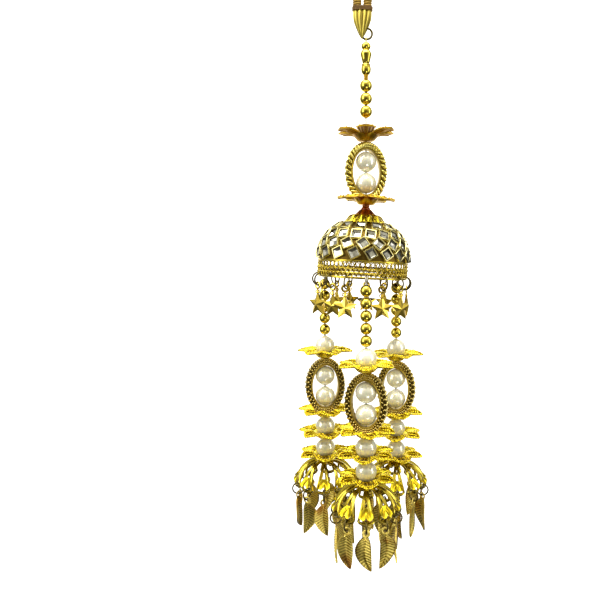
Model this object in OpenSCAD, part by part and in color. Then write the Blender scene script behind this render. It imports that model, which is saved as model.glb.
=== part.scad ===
// Kalira: a bridal bangle ornament that hangs from a loop of wound cord. Millimetres, +Z up, front faces -Y.
// The origin is where the loop bears on its hook. Everything hangs down from there.

/* [Cord and binding] */
// Diameter of the wound cord
cord_d = 3.3; // [2.9:0.1:3.6]
// Height of the binding round the two cord ends
binding_h = 1.4; // [1:0.1:2]
// Wall of the binding
binding_t = 0.35; // [0.25:0.05:0.5]

/* [Thread bundle] */
// Length of the bundle of gold threads
bundle_l = 10; // [9:0.5:13]
// Width of the bundle over both lobes
bundle_w = 7.4; // [7:0.1:8]
// Depth of the bundle from front to back
bundle_t = 4.4; // [4:0.1:5]

/* [Top ring and head pin] */
// Outer diameter of the jump ring through the bundle
hook_ring_d = 4.8; // [4.6:0.1:5.4]
// Wire of that jump ring
hook_wire_d = 0.7; // [0.6:0.05:0.8]
// How far the ring's lowest edge hangs below the bundle's tip
hook_ring_drop = 0.8; // [0.5:0.1:1.2]
// Wire of the head pin and its eye
pin_d = 0.5; // [0.45:0.05:0.6]
// Inner diameter of the eye
eye_d = 1.3; // [1.25:0.05:1.5]

/* [Small beads] */
// Diameter of the round bead under the eye
disc_d = 3.7; // [3:0.1:4.2]
// Height of the round bead
disc_h = 2.8; // [2.2:0.1:3.4]
// Top diameter of the tapered bead
cone_d = 4.5; // [3.8:0.1:5]
// Bottom diameter of the tapered bead
cone_tip_d = 2.8; // [2.2:0.1:3.2]
// Height of the tapered bead
cone_h = 4.9; // [4:0.1:6]
// Diameter of the barrel bead
barrel_d = 3.9; // [3.2:0.1:4.4]
// Height of the barrel bead
barrel_h = 4.3; // [3.6:0.1:5]
// Diameter of the crimp tube that joins pin and thread
crimp_d = 1.8; // [1.6:0.1:2.2]
// Length of the crimp tube
crimp_h = 1.5; // [1.2:0.1:2.2]

/* [Metal balls] */
// Diameter of the metal balls in the chain above the top flower
ball_d = 4.85; // [4.4:0.05:5.2]
// Bare thread between the last ball and the floor of the top flower
bare_thread = 8.1; // [7:0.1:9]
// Diameter of the metal balls in the three strands
strand_ball_d = 4.6; // [4.3:0.05:5]
// How many in each strand
strand_ball_count = 5; // [3:1:6]

/* [Threads] */
// Diameter of the nylon threads
thread_d = 0.6; // [0.4:0.05:0.7]
// Diameter of the knots under the dome roof and the cages
knot_d = 2.2; // [1.8:0.1:2.6]

/* [Pearls] */
// Diameter of the pearls
pearl_d = 8.1; // [7.4:0.1:8.2]
// Bare thread between the last ball and the first pearl of a strand
pearl_gap = 0.3; // [0.1:0.1:0.8]

/* [Flowers] */
// Radius of a flower to its petal tips
flower_r = 11.6; // [10:0.1:12.4]
// Widest part of a petal
petal_w = 8.2; // [7:0.1:9]
// Radius of the flat floor
flower_floor_r = 3.1; // [2.6:0.1:3.4]
// Radius where the cup turns into the petals
flower_cup_r = 4.9; // [4.6:0.1:5.4]
// Height of the cup
flower_cup_h = 1.7; // [1.2:0.1:2]
// Rise of the petals from the cup to their tips
petal_rise = 0.7; // [0:0.1:1.5]
// Thickness of the floor
flower_floor_t = 0.9; // [0.7:0.05:1.2]
// Thickness of the petals
petal_t = 0.8; // [0.6:0.05:1]

/* [Oval frames] */
// Outer width of a frame
frame_w = 17; // [17:0.1:18]
// Outer height of a frame
frame_h = 23.8; // [23.8:0.1:26]
// Width of the rope face
frame_face = 3.2; // [2.8:0.1:3.2]
// Height left above the two pearls of a frame, halved
frame_pearl_room = 0.127; // [0.1:0.001:0.6]
// Depth of a frame from front to back
frame_depth = 4; // [3.4:0.1:4.6]
// Height of the rope relief
rope_relief = 0.2; // [0.12:0.01:0.3]

/* [Dome] */
// Outer radius of the dome at its base
dome_r = 17.9; // [17.4:0.1:18.6]
// Radius of the dome's arc in section
dome_arc_r = 15.5; // [15:0.1:15.8]
// Height of the dome from its base to the roof
dome_h = 14.3; // [13.8:0.1:14.6]
// Wall of the dome and its roof
dome_wall = 1; // [0.8:0.05:1.2]
// How far the dome and all it carries leans to the right, in degrees
dome_lean = 3; // [0:0.5:4]
// Height of the neck bead between flower and crown
neck_h = 1.5; // [1:0.1:2.2]
// Diameter of the neck bead
neck_d = 3.6; // [3:0.1:4.4]
// Height of the crown cap
crown_h = 5.6; // [4.6:0.1:6.4]
// Radius of the crown cap at its hem
crown_r = 8.3; // [7.6:0.1:8.6]
// Radius of the crown cap at its top
crown_top_r = 2.2; // [1.9:0.1:2.6]

/* [Stones] */
// Side of a square bezel
bezel_side = 3.6; // [3.2:0.05:3.7]
// Wall of a bezel
bezel_wall = 0.32; // [0.25:0.01:0.4]
// How far a bezel stands proud of the dome
bezel_proud = 0.85; // [0.6:0.05:1.1]
// Height of a stone
stone_h = 1.15; // [0.9:0.05:1.3]

/* [Pierced band] */
// Outer radius of the band under the dome
band_r = 17.7; // [17.2:0.1:18]
// Height of the band
band_h = 7; // [6.6:0.1:8]
// Wall of the band
band_wall = 0.9; // [0.7:0.05:1]
// Diameter of the round piercings
pierce_d = 1.5; // [1.1:0.05:1.7]
// Diameter of the holes that rings and threads hang in
hang_hole_d = 1.6; // [1.5:0.05:1.8]
// Height of the rail under those holes
rail_h = 0.85; // [0.7:0.05:1]

/* [Stars] */
// Radius of a star to its tips
star_r = 4.85; // [4:0.05:5]
// Thickness of a star at its middle
star_t = 1.7; // [1.2:0.1:2]
// Length of the stem between eyelet and tip
star_stem = 1.2; // [0.8:0.1:2]
// Outer diameter of a star's jump ring
star_ring_d = 5.6; // [5.2:0.1:6.2]
// How far stars hang in front of and behind their rail, by turns
star_stagger = 1.25; // [1.2:0.05:1.4]

/* [Cages and leaves] */
// Radius of a cage at its rim
cage_r = 12.3; // [11.6:0.1:12.6]
// Radius of the flat top of a cage
cage_top_r = 3; // [2.6:0.1:3.6]
// Straight skirt below a cage's arc
cage_skirt = 0.7; // [0.5:0.1:1.2]
// Wall of a cage
cage_wall = 0.9; // [0.7:0.05:1]
// Outer diameter of a leaf's jump ring
leaf_ring_d = 5; // [4.8:0.1:5.2]
// Length of a leaf blade
leaf_l = 13.6; // [11:0.1:15]
// Width of a leaf blade
leaf_w = 5.8; // [4.6:0.1:6]
// Thickness of a leaf blade
leaf_t = 0.6; // [0.5:0.05:0.8]
// Wire of the small jump rings
ring_wire_d = 0.5; // [0.4:0.05:0.6]
// Outer diameter of the eyelets on stars and leaves
eyelet_d = 2.4; // [2.3:0.1:2.6]
// Hole of the eyelets
eyelet_hole_d = 1.4; // [1.35:0.05:1.5]
// Thickness of the eyelets
eyelet_t = 0.5; // [0.4:0.05:0.6]

/* [Clearances] */
// Gap between pieces that rest on each other
fit = 0.1; // [0.08:0.01:0.15]
// Play of a thread or pin in its bore, on the diameter
bore_play = 0.35; // [0.25:0.05:0.5]
// Play of a ring on the rail or wire that it hangs from
ring_play = 0.14; // [0.12:0.01:0.2]

/* [Hidden] */
$fn = 64;
far = 60;           // longer than any cut needs
eps = 0.02;         // overlap of pieces that are soldered together

strand_names = ["front", "right", "left"];
// Azimuth of each strand, from the front towards +X, and how much lower its thread loop lets it hang
strand_az = [5, 125, -115];
strand_slack = [0.5, 0.2, 0];

function with_strand(part) = [for (s = strand_names) str(s, "_", part)];

// The cord's centre line: up from the left end, round the hanging loop and down to the right end
cord_route = [
    [-3.4, 0, -23], [-3.4, 0, -20], [-3.4, 0, -17.5], [-4, 0, -14.5], [-5.7, 0, -11.9], [-7.2, 0, -9.7],
    [-8, 0, -7], [-7.7, 0, -4.2], [-6.6, 0, -1.7], [-4.6, 0, 0.3], [-2.1, 0, 1.4], [0, 0, 1.7],
    [2.1, 0, 1.4], [4.6, 0, 0.3], [6.6, 0, -1.7], [7.7, 0, -4.2], [8, 0, -7], [7.2, 0, -9.7],
    [6.1, 0, -11.4], [4.3, 0, -13.1], [1.7, 0, -15.8], [0.9, 0, -17.7], [0.6, 0, -19.8], [0.6, 0, -21.5],
    [0.6, 0, -23]];
cord_sides = 10;
cord_last = len(cord_route) - 1;
leg_x = [cord_route[0][0], cord_route[cord_last][0]];
cord_end_z = cord_route[0][2];
bundle_top_z = cord_end_z - fit;
bundle_x = (leg_x[0] + leg_x[1]) / 2;
bundle_tip_x = -1.6;

// Sections of the thread bundle from top to tip: share of length, of half width and of half depth
bundle_cuts = [
    [0, 0.97, 0.86], [0.15, 1, 0.98], [0.32, 0.96, 1], [0.5, 0.82, 0.94], [0.65, 0.66, 0.84],
    [0.8, 0.5, 0.7], [0.92, 0.31, 0.52], [1, 0.17, 0.36]];
bundle_sides = 24;
bundle_threads = 12;
bundle_flute = 0.035;

// Rows of stones: angle up the dome's arc, stones in the row, azimuth of the first, turn left and right of front
stone_rows = [
    [9.5, 18, 9, -34, 44],
    [23.2, 18, -1, -24, 41],
    [37.5, 18, 9, -18, 28],
    [55, 12, -7, -12, 25]];
row_arc = 0;
row_count = 1;
row_first = 2;
row_left = 3;
row_right = 4;
stone_gap = 0.1;        // round and under each stone in its bezel
stone_proud = 0.1;      // how far a table stands above its bezel
bezel_root = 0.5;       // how deep a bezel reaches into the dome's wall
stone_corner = 0.22;    // share of the side that each corner facet takes
stone_girdle = 0.5;     // share of the height below the crown facets
stone_table = 0.6;      // share of the side that the table keeps

hang_count = 15;
hang_step = 360 / hang_count;
pierce_count = 45;
strand_slots = [0, 5, 10];
star_slots = [for (i = [0 : hang_count - 1]) if (len(search(i, strand_slots)) == 0) i];

cage_petals = 10;
// Turn of each leaf about its own stem, as the photograph's leaves hang at odds, in degrees
leaf_turns = [[12, -38, 30, -48, 20, 46, -24, 48, -14, 34],
              [-30, 22, 48, -12, 40, -46, 16, -34, 48, 8],
              [26, -18, 44, -48, 10, 34, -48, 22, -40, 14]];
// Yaw of each oval frame from facing the front
top_frame_yaw = 8;
strand_frame_yaw = [-9, -12, 10];
rope_ridges = 18;
rope_steps = 72;
rope_sides = 8;

// Gap between the top frame's foot and the flower that leans under it
lean_fit = fit + 0.15;

// Heights down the chain, from the cord ends to the pivot where the dome's lean starts
hook_mean_r = (hook_ring_d - hook_wire_d) / 2;
hook_x = 0.3;
hook_z = bundle_top_z - bundle_l - hook_ring_drop + hook_ring_d / 2;
pivot_z = hook_z - sqrt(pow(hook_mean_r, 2) - pow(hook_x, 2));
eye_mean_r = (eye_d + pin_d) / 2;
eye_z = pivot_z + hook_wire_d / 2 + ring_play - eye_d / 2;
disc_top_z = eye_z - eye_mean_r - pin_d / 2;
cone_top_z = disc_top_z - disc_h - fit;
barrel_top_z = cone_top_z - cone_h - fit;
crimp_top_z = barrel_top_z - barrel_h - fit;
crimp_mid_z = crimp_top_z - crimp_h / 2;
function chain_ball_z(i) = crimp_top_z - crimp_h - fit - ball_d / 2 - i * (ball_d + fit);
chain_floor_z = chain_ball_z(2) - ball_d / 2 - bare_thread;
top_flower_z = chain_floor_z - flower_floor_t;
top_frame_z = top_flower_z - fit - frame_h / 2;
// Two pearls fill the oval: the lower one bears on its flanks, and the upper one rests on it
frame_mid = [frame_w - frame_face, frame_h - frame_face] / 2;
frame_taper = pow(frame_mid[1] / frame_mid[0], 2) - 1;
frame_pearl_split = fit / 2 + frame_pearl_room;         // from the lower pearl's top to the middle of the frame
frame_pearl_flank = frame_face / 2 + fit;               // from a pearl's side to the middle line of the rope
frame_pearl_half = let (pull = frame_pearl_split + frame_taper * frame_pearl_flank)
    (sqrt(pow(pull, 2) - (1 + frame_taper) * (pow(frame_pearl_split, 2)
        + frame_taper * (pow(frame_pearl_flank, 2) - pow(frame_mid[0], 2)))) - pull) / (1 + frame_taper);
frame_pearl_d = 2 * frame_pearl_half;
frame_pearl_low = -frame_pearl_half - frame_pearl_split;
frame_pearl_high = frame_pearl_low + frame_pearl_d + fit;
dome_flower_z = top_frame_z - frame_h / 2 - lean_fit - flower_floor_t;
lean_z = dome_flower_z + flower_floor_t;
neck_top_z = dome_flower_z - fit;
crown_top_z = neck_top_z - neck_h - fit;
roof_z = crown_top_z - crown_h - fit;
roof_h = min(dome_h, dome_arc_r);       // the arc's own top, where the roof would lie above it
dome_base_z = roof_z - roof_h;
dome_arc_x = dome_r - dome_arc_r;
hang_z = dome_base_z - band_h + rail_h + hang_hole_d / 2;
rail_top_z = dome_base_z - band_h + rail_h;
rail_mid_r = band_r - band_wall / 2;
bore_d = thread_d + bore_play;

star_ring_mean_r = (star_ring_d - ring_wire_d) / 2;
leaf_ring_mean_r = (leaf_ring_d - ring_wire_d) / 2;
// Centre of a ring that hangs on a rail whose top is at height zero
function ring_centre_z(outer_d) = ring_play - (outer_d / 2 - ring_wire_d);
// How far an eyelet's centre lies below the ring wire that it hangs on, where that wire climbs by a given slope
function eyelet_drop(slope) =
    eyelet_hole_d / 2 - ring_play - sqrt(1 + slope * slope) * ring_wire_d / 2 - slope * eyelet_t / 2;

// Heights down a strand, from the centre of its hanging hole
loop_mean_r = hang_hole_d / 2 + rail_h / 2;
loop_thread_d = thread_d * 0.8;
loop_low_z = -2 * loop_mean_r - thread_d / 2;
function strand_ball_z(i) = loop_low_z - fit - strand_ball_d / 2 - i * (strand_ball_d + fit);
s_pearl_1_z = strand_ball_z(strand_ball_count - 1) - strand_ball_d / 2 - pearl_gap - pearl_d / 2;
s_flower_a_z = s_pearl_1_z - pearl_d / 2 - fit - flower_floor_t;
s_frame_z = s_flower_a_z - fit - frame_h / 2;
s_flower_b_z = s_frame_z - frame_h / 2 - fit - flower_floor_t;
s_pearl_4_z = s_flower_b_z - fit - pearl_d / 2;
s_flower_c_z = s_pearl_4_z - pearl_d / 2 - fit - flower_floor_t;
s_pearl_5_z = s_flower_c_z - fit - pearl_d / 2;
s_flower_d_z = s_pearl_5_z - pearl_d / 2 - fit - flower_floor_t;
s_cage_z = s_flower_d_z - fit;
s_knot_z = s_cage_z - cage_wall - fit - knot_d / 2;
cage_arc_r = cage_r - cage_top_r;
cage_rim_z = -cage_arc_r - cage_skirt;
cage_rail = 0.6;
cage_hole_z = cage_rim_z + cage_rail + hang_hole_d / 2;
cage_rail_mid_r = cage_r - cage_wall / 2;

// A point on the band at azimuth az, after the lean
function leaned(p) = [
    p[0] * cos(dome_lean) + (p[2] - lean_z) * sin(dome_lean), p[1],
    lean_z - p[0] * sin(dome_lean) + (p[2] - lean_z) * cos(dome_lean)];
function round_at(r, az, z) = [r * sin(az), -r * cos(az), z];
function hang_point(az) = leaned(round_at(rail_mid_r, az, hang_z));

module lean() {
    translate([0, 0, lean_z]) rotate([0, dome_lean, 0]) translate([0, 0, -lean_z]) children();
}

// Turns a child that faces -Y, at the origin, to azimuth az from the front towards +X
module facing(az) {
    rotate([0, 0, az]) children();
}

// A ring of round wire whose hole faces X
module wire_ring(mean_r, wire_d) {
    rotate([0, 90, 0]) rotate_extrude() translate([mean_r, 0]) circle(d = wire_d, $fn = 24);
}

module drilled_sphere(d, hole_d) {
    difference() {
        sphere(d = d);
        cylinder(d = hole_d, h = 2 * d, center = true, $fn = 24);
    }
}

// Solid between rings of points, one list of points for each ring, with flat ends
module skin(rings) {
    n = len(rings[0]);
    last = len(rings) - 1;
    points = [for (ring = rings) each ring];
    sides = [for (k = [0 : last - 1], i = [0 : n - 1]) let (j = (i + 1) % n)
        each [[k * n + i, (k + 1) * n + i, (k + 1) * n + j], [k * n + i, (k + 1) * n + j, k * n + j]]];
    start = [for (i = [1 : n - 2]) [0, i, i + 1]];
    end = [for (i = [1 : n - 2]) [last * n, last * n + i + 1, last * n + i]];
    polyhedron(points = points, faces = concat(sides, start, end));
}

// Unit direction of the cord at route point i, which stays in the plane y = 0
function cord_dir(i) =
    let (v = cord_route[min(i + 1, cord_last)] - cord_route[max(i - 1, 0)]) v / norm(v);
function cord_section(i) =
    let (dir = cord_dir(i), side = [dir[2], 0, -dir[0]])
    [for (k = [0 : cord_sides - 1]) let (a = 360 * k / cord_sides)
        cord_route[i] + (side * cos(a) + [0, 1, 0] * sin(a)) * cord_d / 2];

module hanging_cord() {
    color("#b07a2a") skin([for (i = [0 : cord_last]) cord_section(i)]);
}

module cord_binding() {
    color("#5a3410") translate([0, 0, cord_end_z]) difference() {
        union() {
            for (x = leg_x) translate([x, 0, 0]) cylinder(d = cord_d + 2 * (binding_t + fit), h = binding_h);
            translate([bundle_x, 0, binding_h / 2])
                cube([leg_x[1] - leg_x[0], cord_d / 2, binding_h], center = true);
        }
        for (x = leg_x) translate([x, 0, -eps]) cylinder(d = cord_d + 2 * fit, h = binding_h + 2 * eps);
    }
}

function bundle_section(cut) =
    let (z = bundle_top_z - cut[0] * bundle_l, x = bundle_x + (bundle_tip_x - bundle_x) * cut[0])
    [for (k = [0 : bundle_sides - 1])
        let (a = -360 * k / bundle_sides, flute = 1 + bundle_flute * cos(bundle_threads * a))
        [x + cos(a) * flute * cut[1] * bundle_w / 2, sin(a) * flute * cut[2] * bundle_t / 2, z]];

module thread_bundle() {
    color("#d2a83c") difference() {
        skin([for (cut = bundle_cuts) bundle_section(cut)]);
        translate([hook_x, 0, hook_z]) rotate([0, 0, 90]) wire_ring(hook_mean_r, hook_wire_d + 2 * fit);
    }
}

module hook_ring() {
    color("#8a6a3a") translate([hook_x, 0, hook_z]) rotate([0, 0, 90]) wire_ring(hook_mean_r, hook_wire_d);
}

module head_pin() {
    color("#c9a227") {
        translate([0, 0, eye_z]) wire_ring(eye_mean_r, pin_d);
        translate([0, 0, crimp_mid_z + fit])
            cylinder(d = pin_d, h = eye_z - eye_mean_r - crimp_mid_z - fit, $fn = 24);
    }
}

// A bead turned from its half outline, given as [share of half height, share of radius] from bottom to top
module turned_bead(d, h, outline) {
    difference() {
        rotate_extrude() polygon(concat(
            [[0, -h / 2]], [for (p = outline) [p[1] * d / 2, p[0] * h / 2]], [[0, h / 2]]));
        cylinder(d = pin_d + bore_play, h = 2 * h, center = true, $fn = 24);
    }
}

module round_bead() {
    color("#f0d048") translate([0, 0, disc_top_z - disc_h / 2]) turned_bead(disc_d, disc_h,
        [[-1, 0.52], [-0.8, 0.78], [-0.4, 0.97], [0, 1], [0.4, 0.97], [0.8, 0.78], [1, 0.52]]);
}

module tapered_bead() {
    taper = cone_tip_d / cone_d;
    color("#e2bd3a") translate([0, 0, cone_top_z - cone_h / 2]) turned_bead(cone_d, cone_h,
        [[-1, taper], [-0.35, (1 + taper) / 2], [0.3, 0.97], [0.6, 1], [0.85, 0.86], [1, 0.6]]);
}

module barrel_bead() {
    color("#e2bd3a") translate([0, 0, barrel_top_z - barrel_h / 2]) turned_bead(barrel_d, barrel_h,
        [[-1, 0.5], [-0.8, 0.76], [-0.35, 0.97], [0, 1], [0.35, 0.97], [0.8, 0.76], [1, 0.5]]);
}

module crimp_tube() {
    color("#7a5620") translate([0, 0, crimp_top_z - crimp_h]) difference() {
        cylinder(d = crimp_d, h = crimp_h);
        translate([0, 0, -eps]) cylinder(d = max(pin_d, thread_d) + bore_play, h = crimp_h + 2 * eps, $fn = 24);
    }
}

module chain_ball(i) {
    color("#e6c63c") translate([0, 0, chain_ball_z(i)]) drilled_sphere(ball_d, bore_d);
}

// The thread bends where the lean starts, and its knot bears on the dome roof from below
module drop_thread() {
    color("#e9e6da") {
        translate([0, 0, lean_z]) {
            cylinder(d = thread_d, h = crimp_mid_z - fit - lean_z, $fn = 24);
            sphere(d = thread_d, $fn = 24);
        }
        lean() translate([0, 0, roof_z - dome_wall - fit - knot_d / 2]) {
            cylinder(d = thread_d, h = lean_z - roof_z + dome_wall + fit + knot_d / 2, $fn = 24);
            sphere(d = knot_d, $fn = 32);
        }
    }
}

// Half section of the flower's sheet: floor, cup and petals, with its underside's floor at height zero
module flower_section() {
    polygon([
        [0, 0], [flower_floor_r, 0], [flower_cup_r, flower_cup_h], [flower_r + 1, flower_cup_h + petal_rise],
        [flower_r + 1, flower_cup_h + petal_rise + petal_t], [flower_cup_r - petal_t / 2, flower_cup_h + petal_t],
        [flower_floor_r - petal_t / 2, flower_floor_t], [0, flower_floor_t]]);
}

// One pointed petal between two arcs, lying along +X from near the middle to the tip
module petal_outline() {
    half_l = flower_r / 2;
    arc_r = (half_l * half_l + petal_w * petal_w / 4) / petal_w;
    translate([half_l, 0]) intersection() {
        translate([0, arc_r - petal_w / 2]) circle(arc_r, $fn = 96);
        translate([0, petal_w / 2 - arc_r]) circle(arc_r, $fn = 96);
    }
}

module flower(az) {
    petal_count = 6;
    color("#f5d92e") difference() {
        intersection() {
            rotate_extrude() flower_section();
            linear_extrude(far) for (i = [0 : petal_count - 1])
                rotate(az - 90 + i * 360 / petal_count) petal_outline();
        }
        cylinder(d = bore_d, h = far, center = true, $fn = 24);
    }
}

// Rope-faced oval: a rounded box section whose two ridges wind round it as it goes
rope_squareness = 0.6;
function boxed(v) = sign(v) * pow(abs(v), rope_squareness);
function rope_ring(i) =
    let (a = 360 * i / rope_steps, w = frame_mid[0], h = frame_mid[1],
        out = [h * cos(a), 0, w * sin(a)] / norm([h * cos(a), 0, w * sin(a)]))
    [for (k = [0 : rope_sides - 1])
        let (b = 360 * k / rope_sides, ridge = rope_relief * (cos(2 * b - rope_ridges * a) - 1))
        [w * cos(a), 0, h * sin(a)]
            + out * boxed(cos(b)) * (frame_face / 2 + ridge)
            + [0, 1, 0] * boxed(sin(b)) * (frame_depth / 2 + ridge)];

module oval_frame(shade) {
    n = rope_sides;
    points = [for (i = [0 : rope_steps - 1]) each rope_ring(i)];
    faces = [for (i = [0 : rope_steps - 1], k = [0 : n - 1])
        let (p = i * n, q = ((i + 1) % rope_steps) * n, l = (k + 1) % n)
        each [[p + k, q + k, q + l], [p + k, q + l, p + l]]];
    color(shade) difference() {
        polyhedron(points = points, faces = faces);
        cylinder(d = bore_d, h = far, center = true, $fn = 24);
    }
}

module pearl(d = pearl_d) {
    color("#efe9cf") drilled_sphere(d, bore_d);
}

module top_frame() {
    translate([0, 0, top_frame_z]) facing(top_frame_yaw) oval_frame("#c9a635");
}

module neck_bead() {
    color("#7c3a12") lean() translate([0, 0, neck_top_z - neck_h]) difference() {
        rotate_extrude() polygon([[0, 0], [neck_d / 2, 0], [neck_d / 2, neck_h * 0.3],
            [neck_d / 2.6, neck_h], [0, neck_h]]);
        cylinder(d = bore_d, h = far, center = true, $fn = 24);
    }
}

// Bell-shaped cap with raised leaves round its skirt
module crown_cap() {
    leaf_count = 12;
    skirt_t = 0.8;
    leaf_rib = skirt_t * [5, 1.125, 1.125];
    hem_t = skirt_t / 2;
    shoulder_r = (crown_top_r + crown_r) * 0.42;
    shoulder_z = crown_h * 0.48;
    slope = atan2(shoulder_z, crown_r - shoulder_r);
    color("#f7dd35") lean() translate([0, 0, crown_top_z - crown_h]) difference() {
        union() {
            rotate_extrude() polygon([[0, crown_h - skirt_t], [crown_top_r - skirt_t, crown_h - skirt_t],
                [shoulder_r - skirt_t, shoulder_z - hem_t], [crown_r - skirt_t, 0], [crown_r, 0],
                [crown_r, hem_t], [shoulder_r, shoulder_z + hem_t],
                [crown_top_r, crown_h], [0, crown_h]]);
            intersection() {
                for (i = [0 : leaf_count - 1]) rotate([0, 0, (i + 0.5) * 360 / leaf_count])
                    translate([(shoulder_r + crown_r) / 2, 0, shoulder_z / 2 + hem_t])
                        rotate([0, slope, 0]) rotate([45, 0, 0]) cube(leaf_rib, center = true);
                cylinder(r = crown_r, h = crown_h);
            }
        }
        cylinder(d = bore_d, h = far, center = true, $fn = 24);
    }
}

// Puts a child at a point of the dome's outer arc, +Z outwards, turned about that direction
module on_dome(az, arc, turn) {
    rotate([0, 0, az - 90]) translate([dome_arc_x + dome_arc_r * cos(arc), 0, dome_arc_r * sin(arc)])
        rotate([0, 90 - arc, 0]) rotate([0, 0, turn + 90]) children();
}

// Every stone's azimuth and turn in one row
function row_places(row) = [for (i = [0 : row[row_count] - 1])
    let (az = row[row_first] + i * 360 / row[row_count])
    [az, sin(az) < 0 ? row[row_left] : row[row_right]]];

module on_every_seat() {
    for (row = stone_rows, place = row_places(row)) on_dome(place[0], row[row_arc], place[1]) children();
}

module bezel_pocket() {
    side = bezel_side - 2 * bezel_wall;
    depth = stone_h + stone_gap;
    translate([-side / 2, -side / 2, bezel_proud + stone_proud - depth]) cube([side, side, depth + 1]);
}

module dome_shell() {
    difference() {
        rotate_extrude($fn = 128) difference() {
            intersection() {
                translate([dome_arc_x, 0]) circle(dome_arc_r, $fn = 128);
                square([far, roof_h]);
            }
            intersection() {
                translate([dome_arc_x, 0]) circle(dome_arc_r - dome_wall, $fn = 128);
                translate([0, -1]) square([far, roof_h - dome_wall + 1]);
            }
        }
        cylinder(d = bore_d, h = far, center = true, $fn = 24);
    }
}

// Band with a row of round piercings, a raised border above it and the row of hanging holes over its rail
module pierced_band() {
    border_proud = 0.25;
    border_h = 0.7;
    pierce_z = band_h * 0.64;
    cutter_l = 4;
    dome_foot_r = dome_r - dome_wall / 2;
    difference() {
        union() {
            cylinder(r = band_r, h = band_h - border_h, $fn = 128);
            translate([0, 0, band_h - border_h])
                cylinder(r = max(band_r, dome_foot_r), h = border_h + eps, $fn = 128);
            for (z = [band_h - border_h, 0])
                translate([0, 0, z]) cylinder(r = band_r + border_proud, h = border_h, $fn = 128);
        }
        translate([0, 0, -1]) cylinder(r = band_r - band_wall, h = band_h + 1 - border_h, $fn = 128);
        cylinder(r = min(band_r - band_wall, dome_foot_r), h = band_h + 1, $fn = 128);
        for (i = [0 : pierce_count - 1])
            rotate([0, 0, i * 360 / pierce_count]) translate([band_r, 0, pierce_z])
                rotate([0, 90, 0]) cylinder(d = pierce_d, h = cutter_l, center = true, $fn = 24);
        for (i = [0 : hang_count - 1])
            rotate([0, 0, strand_az[0] + i * hang_step - 90]) translate([band_r, 0, rail_h + hang_hole_d / 2])
                rotate([0, 90, 0]) cylinder(d = hang_hole_d, h = cutter_l, center = true, $fn = 24);
    }
}

module dome() {
    color("#a8842a") lean() translate([0, 0, dome_base_z]) {
        difference() {
            union() {
                dome_shell();
                on_every_seat() translate([-bezel_side / 2, -bezel_side / 2, -bezel_root])
                    cube([bezel_side, bezel_side, bezel_proud + bezel_root]);
            }
            on_every_seat() bezel_pocket();
        }
        translate([0, 0, -band_h]) pierced_band();
    }
}

// Square stone with cut corners: girdle, eight crown facets and a table
function stone_ring(side, z) =
    let (h = side / 2, c = side * stone_corner)
    [[h, -h + c, z], [h, h - c, z], [h - c, h, z], [-h + c, h, z],
     [-h, h - c, z], [-h, -h + c, z], [-h + c, -h, z], [h - c, -h, z]];

module stone() {
    side = bezel_side - 2 * (bezel_wall + stone_gap);
    translate([0, 0, bezel_proud + stone_proud - stone_h]) skin([
        stone_ring(side, 0), stone_ring(side, stone_h * stone_girdle), stone_ring(side * stone_table, stone_h)]);
}

module dome_stones() {
    color("#cfd6d2") lean() translate([0, 0, dome_base_z]) on_every_seat() stone();
}

// Rings through the band's holes, each in the upright plane that runs out from the axis
module star_rings() {
    color("#9a8250") lean() for (i = star_slots) facing(strand_az[0] + i * hang_step)
        translate([0, -rail_mid_r, rail_top_z + ring_centre_z(star_ring_d)])
            wire_ring(star_ring_mean_r, ring_wire_d);
}

// Flat eyelet in the plane of its charm, hole towards Y, centred on the origin
module eyelet() {
    rotate([90, 0, 0]) difference() {
        cylinder(d = eyelet_d, h = eyelet_t, center = true, $fn = 32);
        cylinder(d = eyelet_hole_d, h = eyelet_t + 1, center = true, $fn = 32);
    }
}

// Five-pointed star facing -Y: ten outline points with a thin edge, raised to a peak on both faces
module star_body() {
    edge = 0.25;            // half the thickness at the outline
    inner_r = star_r * 0.46;
    outline = [for (i = [0 : 9]) let (a = 90 + 36 * i, r = i % 2 == 0 ? star_r : inner_r) [r * cos(a), r * sin(a)]];
    points = concat([for (p = outline) [p[0], -edge, p[1]]], [for (p = outline) [p[0], edge, p[1]]],
        [[0, -star_t / 2, 0], [0, star_t / 2, 0]]);
    faces = [for (i = [0 : 9]) let (j = (i + 1) % 10)
        each [[20, j, i], [21, 10 + i, 10 + j], [i, j, 10 + j], [i, 10 + j, 10 + i]]];
    polyhedron(points = points, faces = faces);
}

module star() {
    stem_d = 0.9;
    stem_root = 0.7;        // how deep the stem runs into the star's top point
    eyelet();
    translate([0, 0, -eyelet_d / 2 - star_stem - stem_root])
        cylinder(d = stem_d, h = star_stem + stem_root + (eyelet_d - eyelet_hole_d) / 4, $fn = 16);
    translate([0, 0, -eyelet_d / 2 - star_stem - star_r]) star_body();
}

module stars() {
    tilt = 4;               // about its stem, from square to its ring
    color("#dcb53a") for (i = star_slots) {
        az = strand_az[0] + i * hang_step;
        side = i % 2 == 0 ? 1 : -1;
        level = sqrt(pow(star_ring_mean_r, 2) - pow(star_stagger, 2));
        slope = star_stagger / level - side * sin(az) * tan(dome_lean);
        wire = leaned(round_at(
            rail_mid_r + side * star_stagger, az, rail_top_z + ring_centre_z(star_ring_d) - level));
        translate(wire - [0, 0, eyelet_drop(slope)]) facing(az) rotate([0, 0, side * tilt]) star();
    }
}

// Puts a child at a strand's hanging hole, upright, with its front towards the strand's azimuth
module at_strand(s) {
    translate(hang_point(strand_az[s])) facing(strand_az[s]) children();
}

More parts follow.
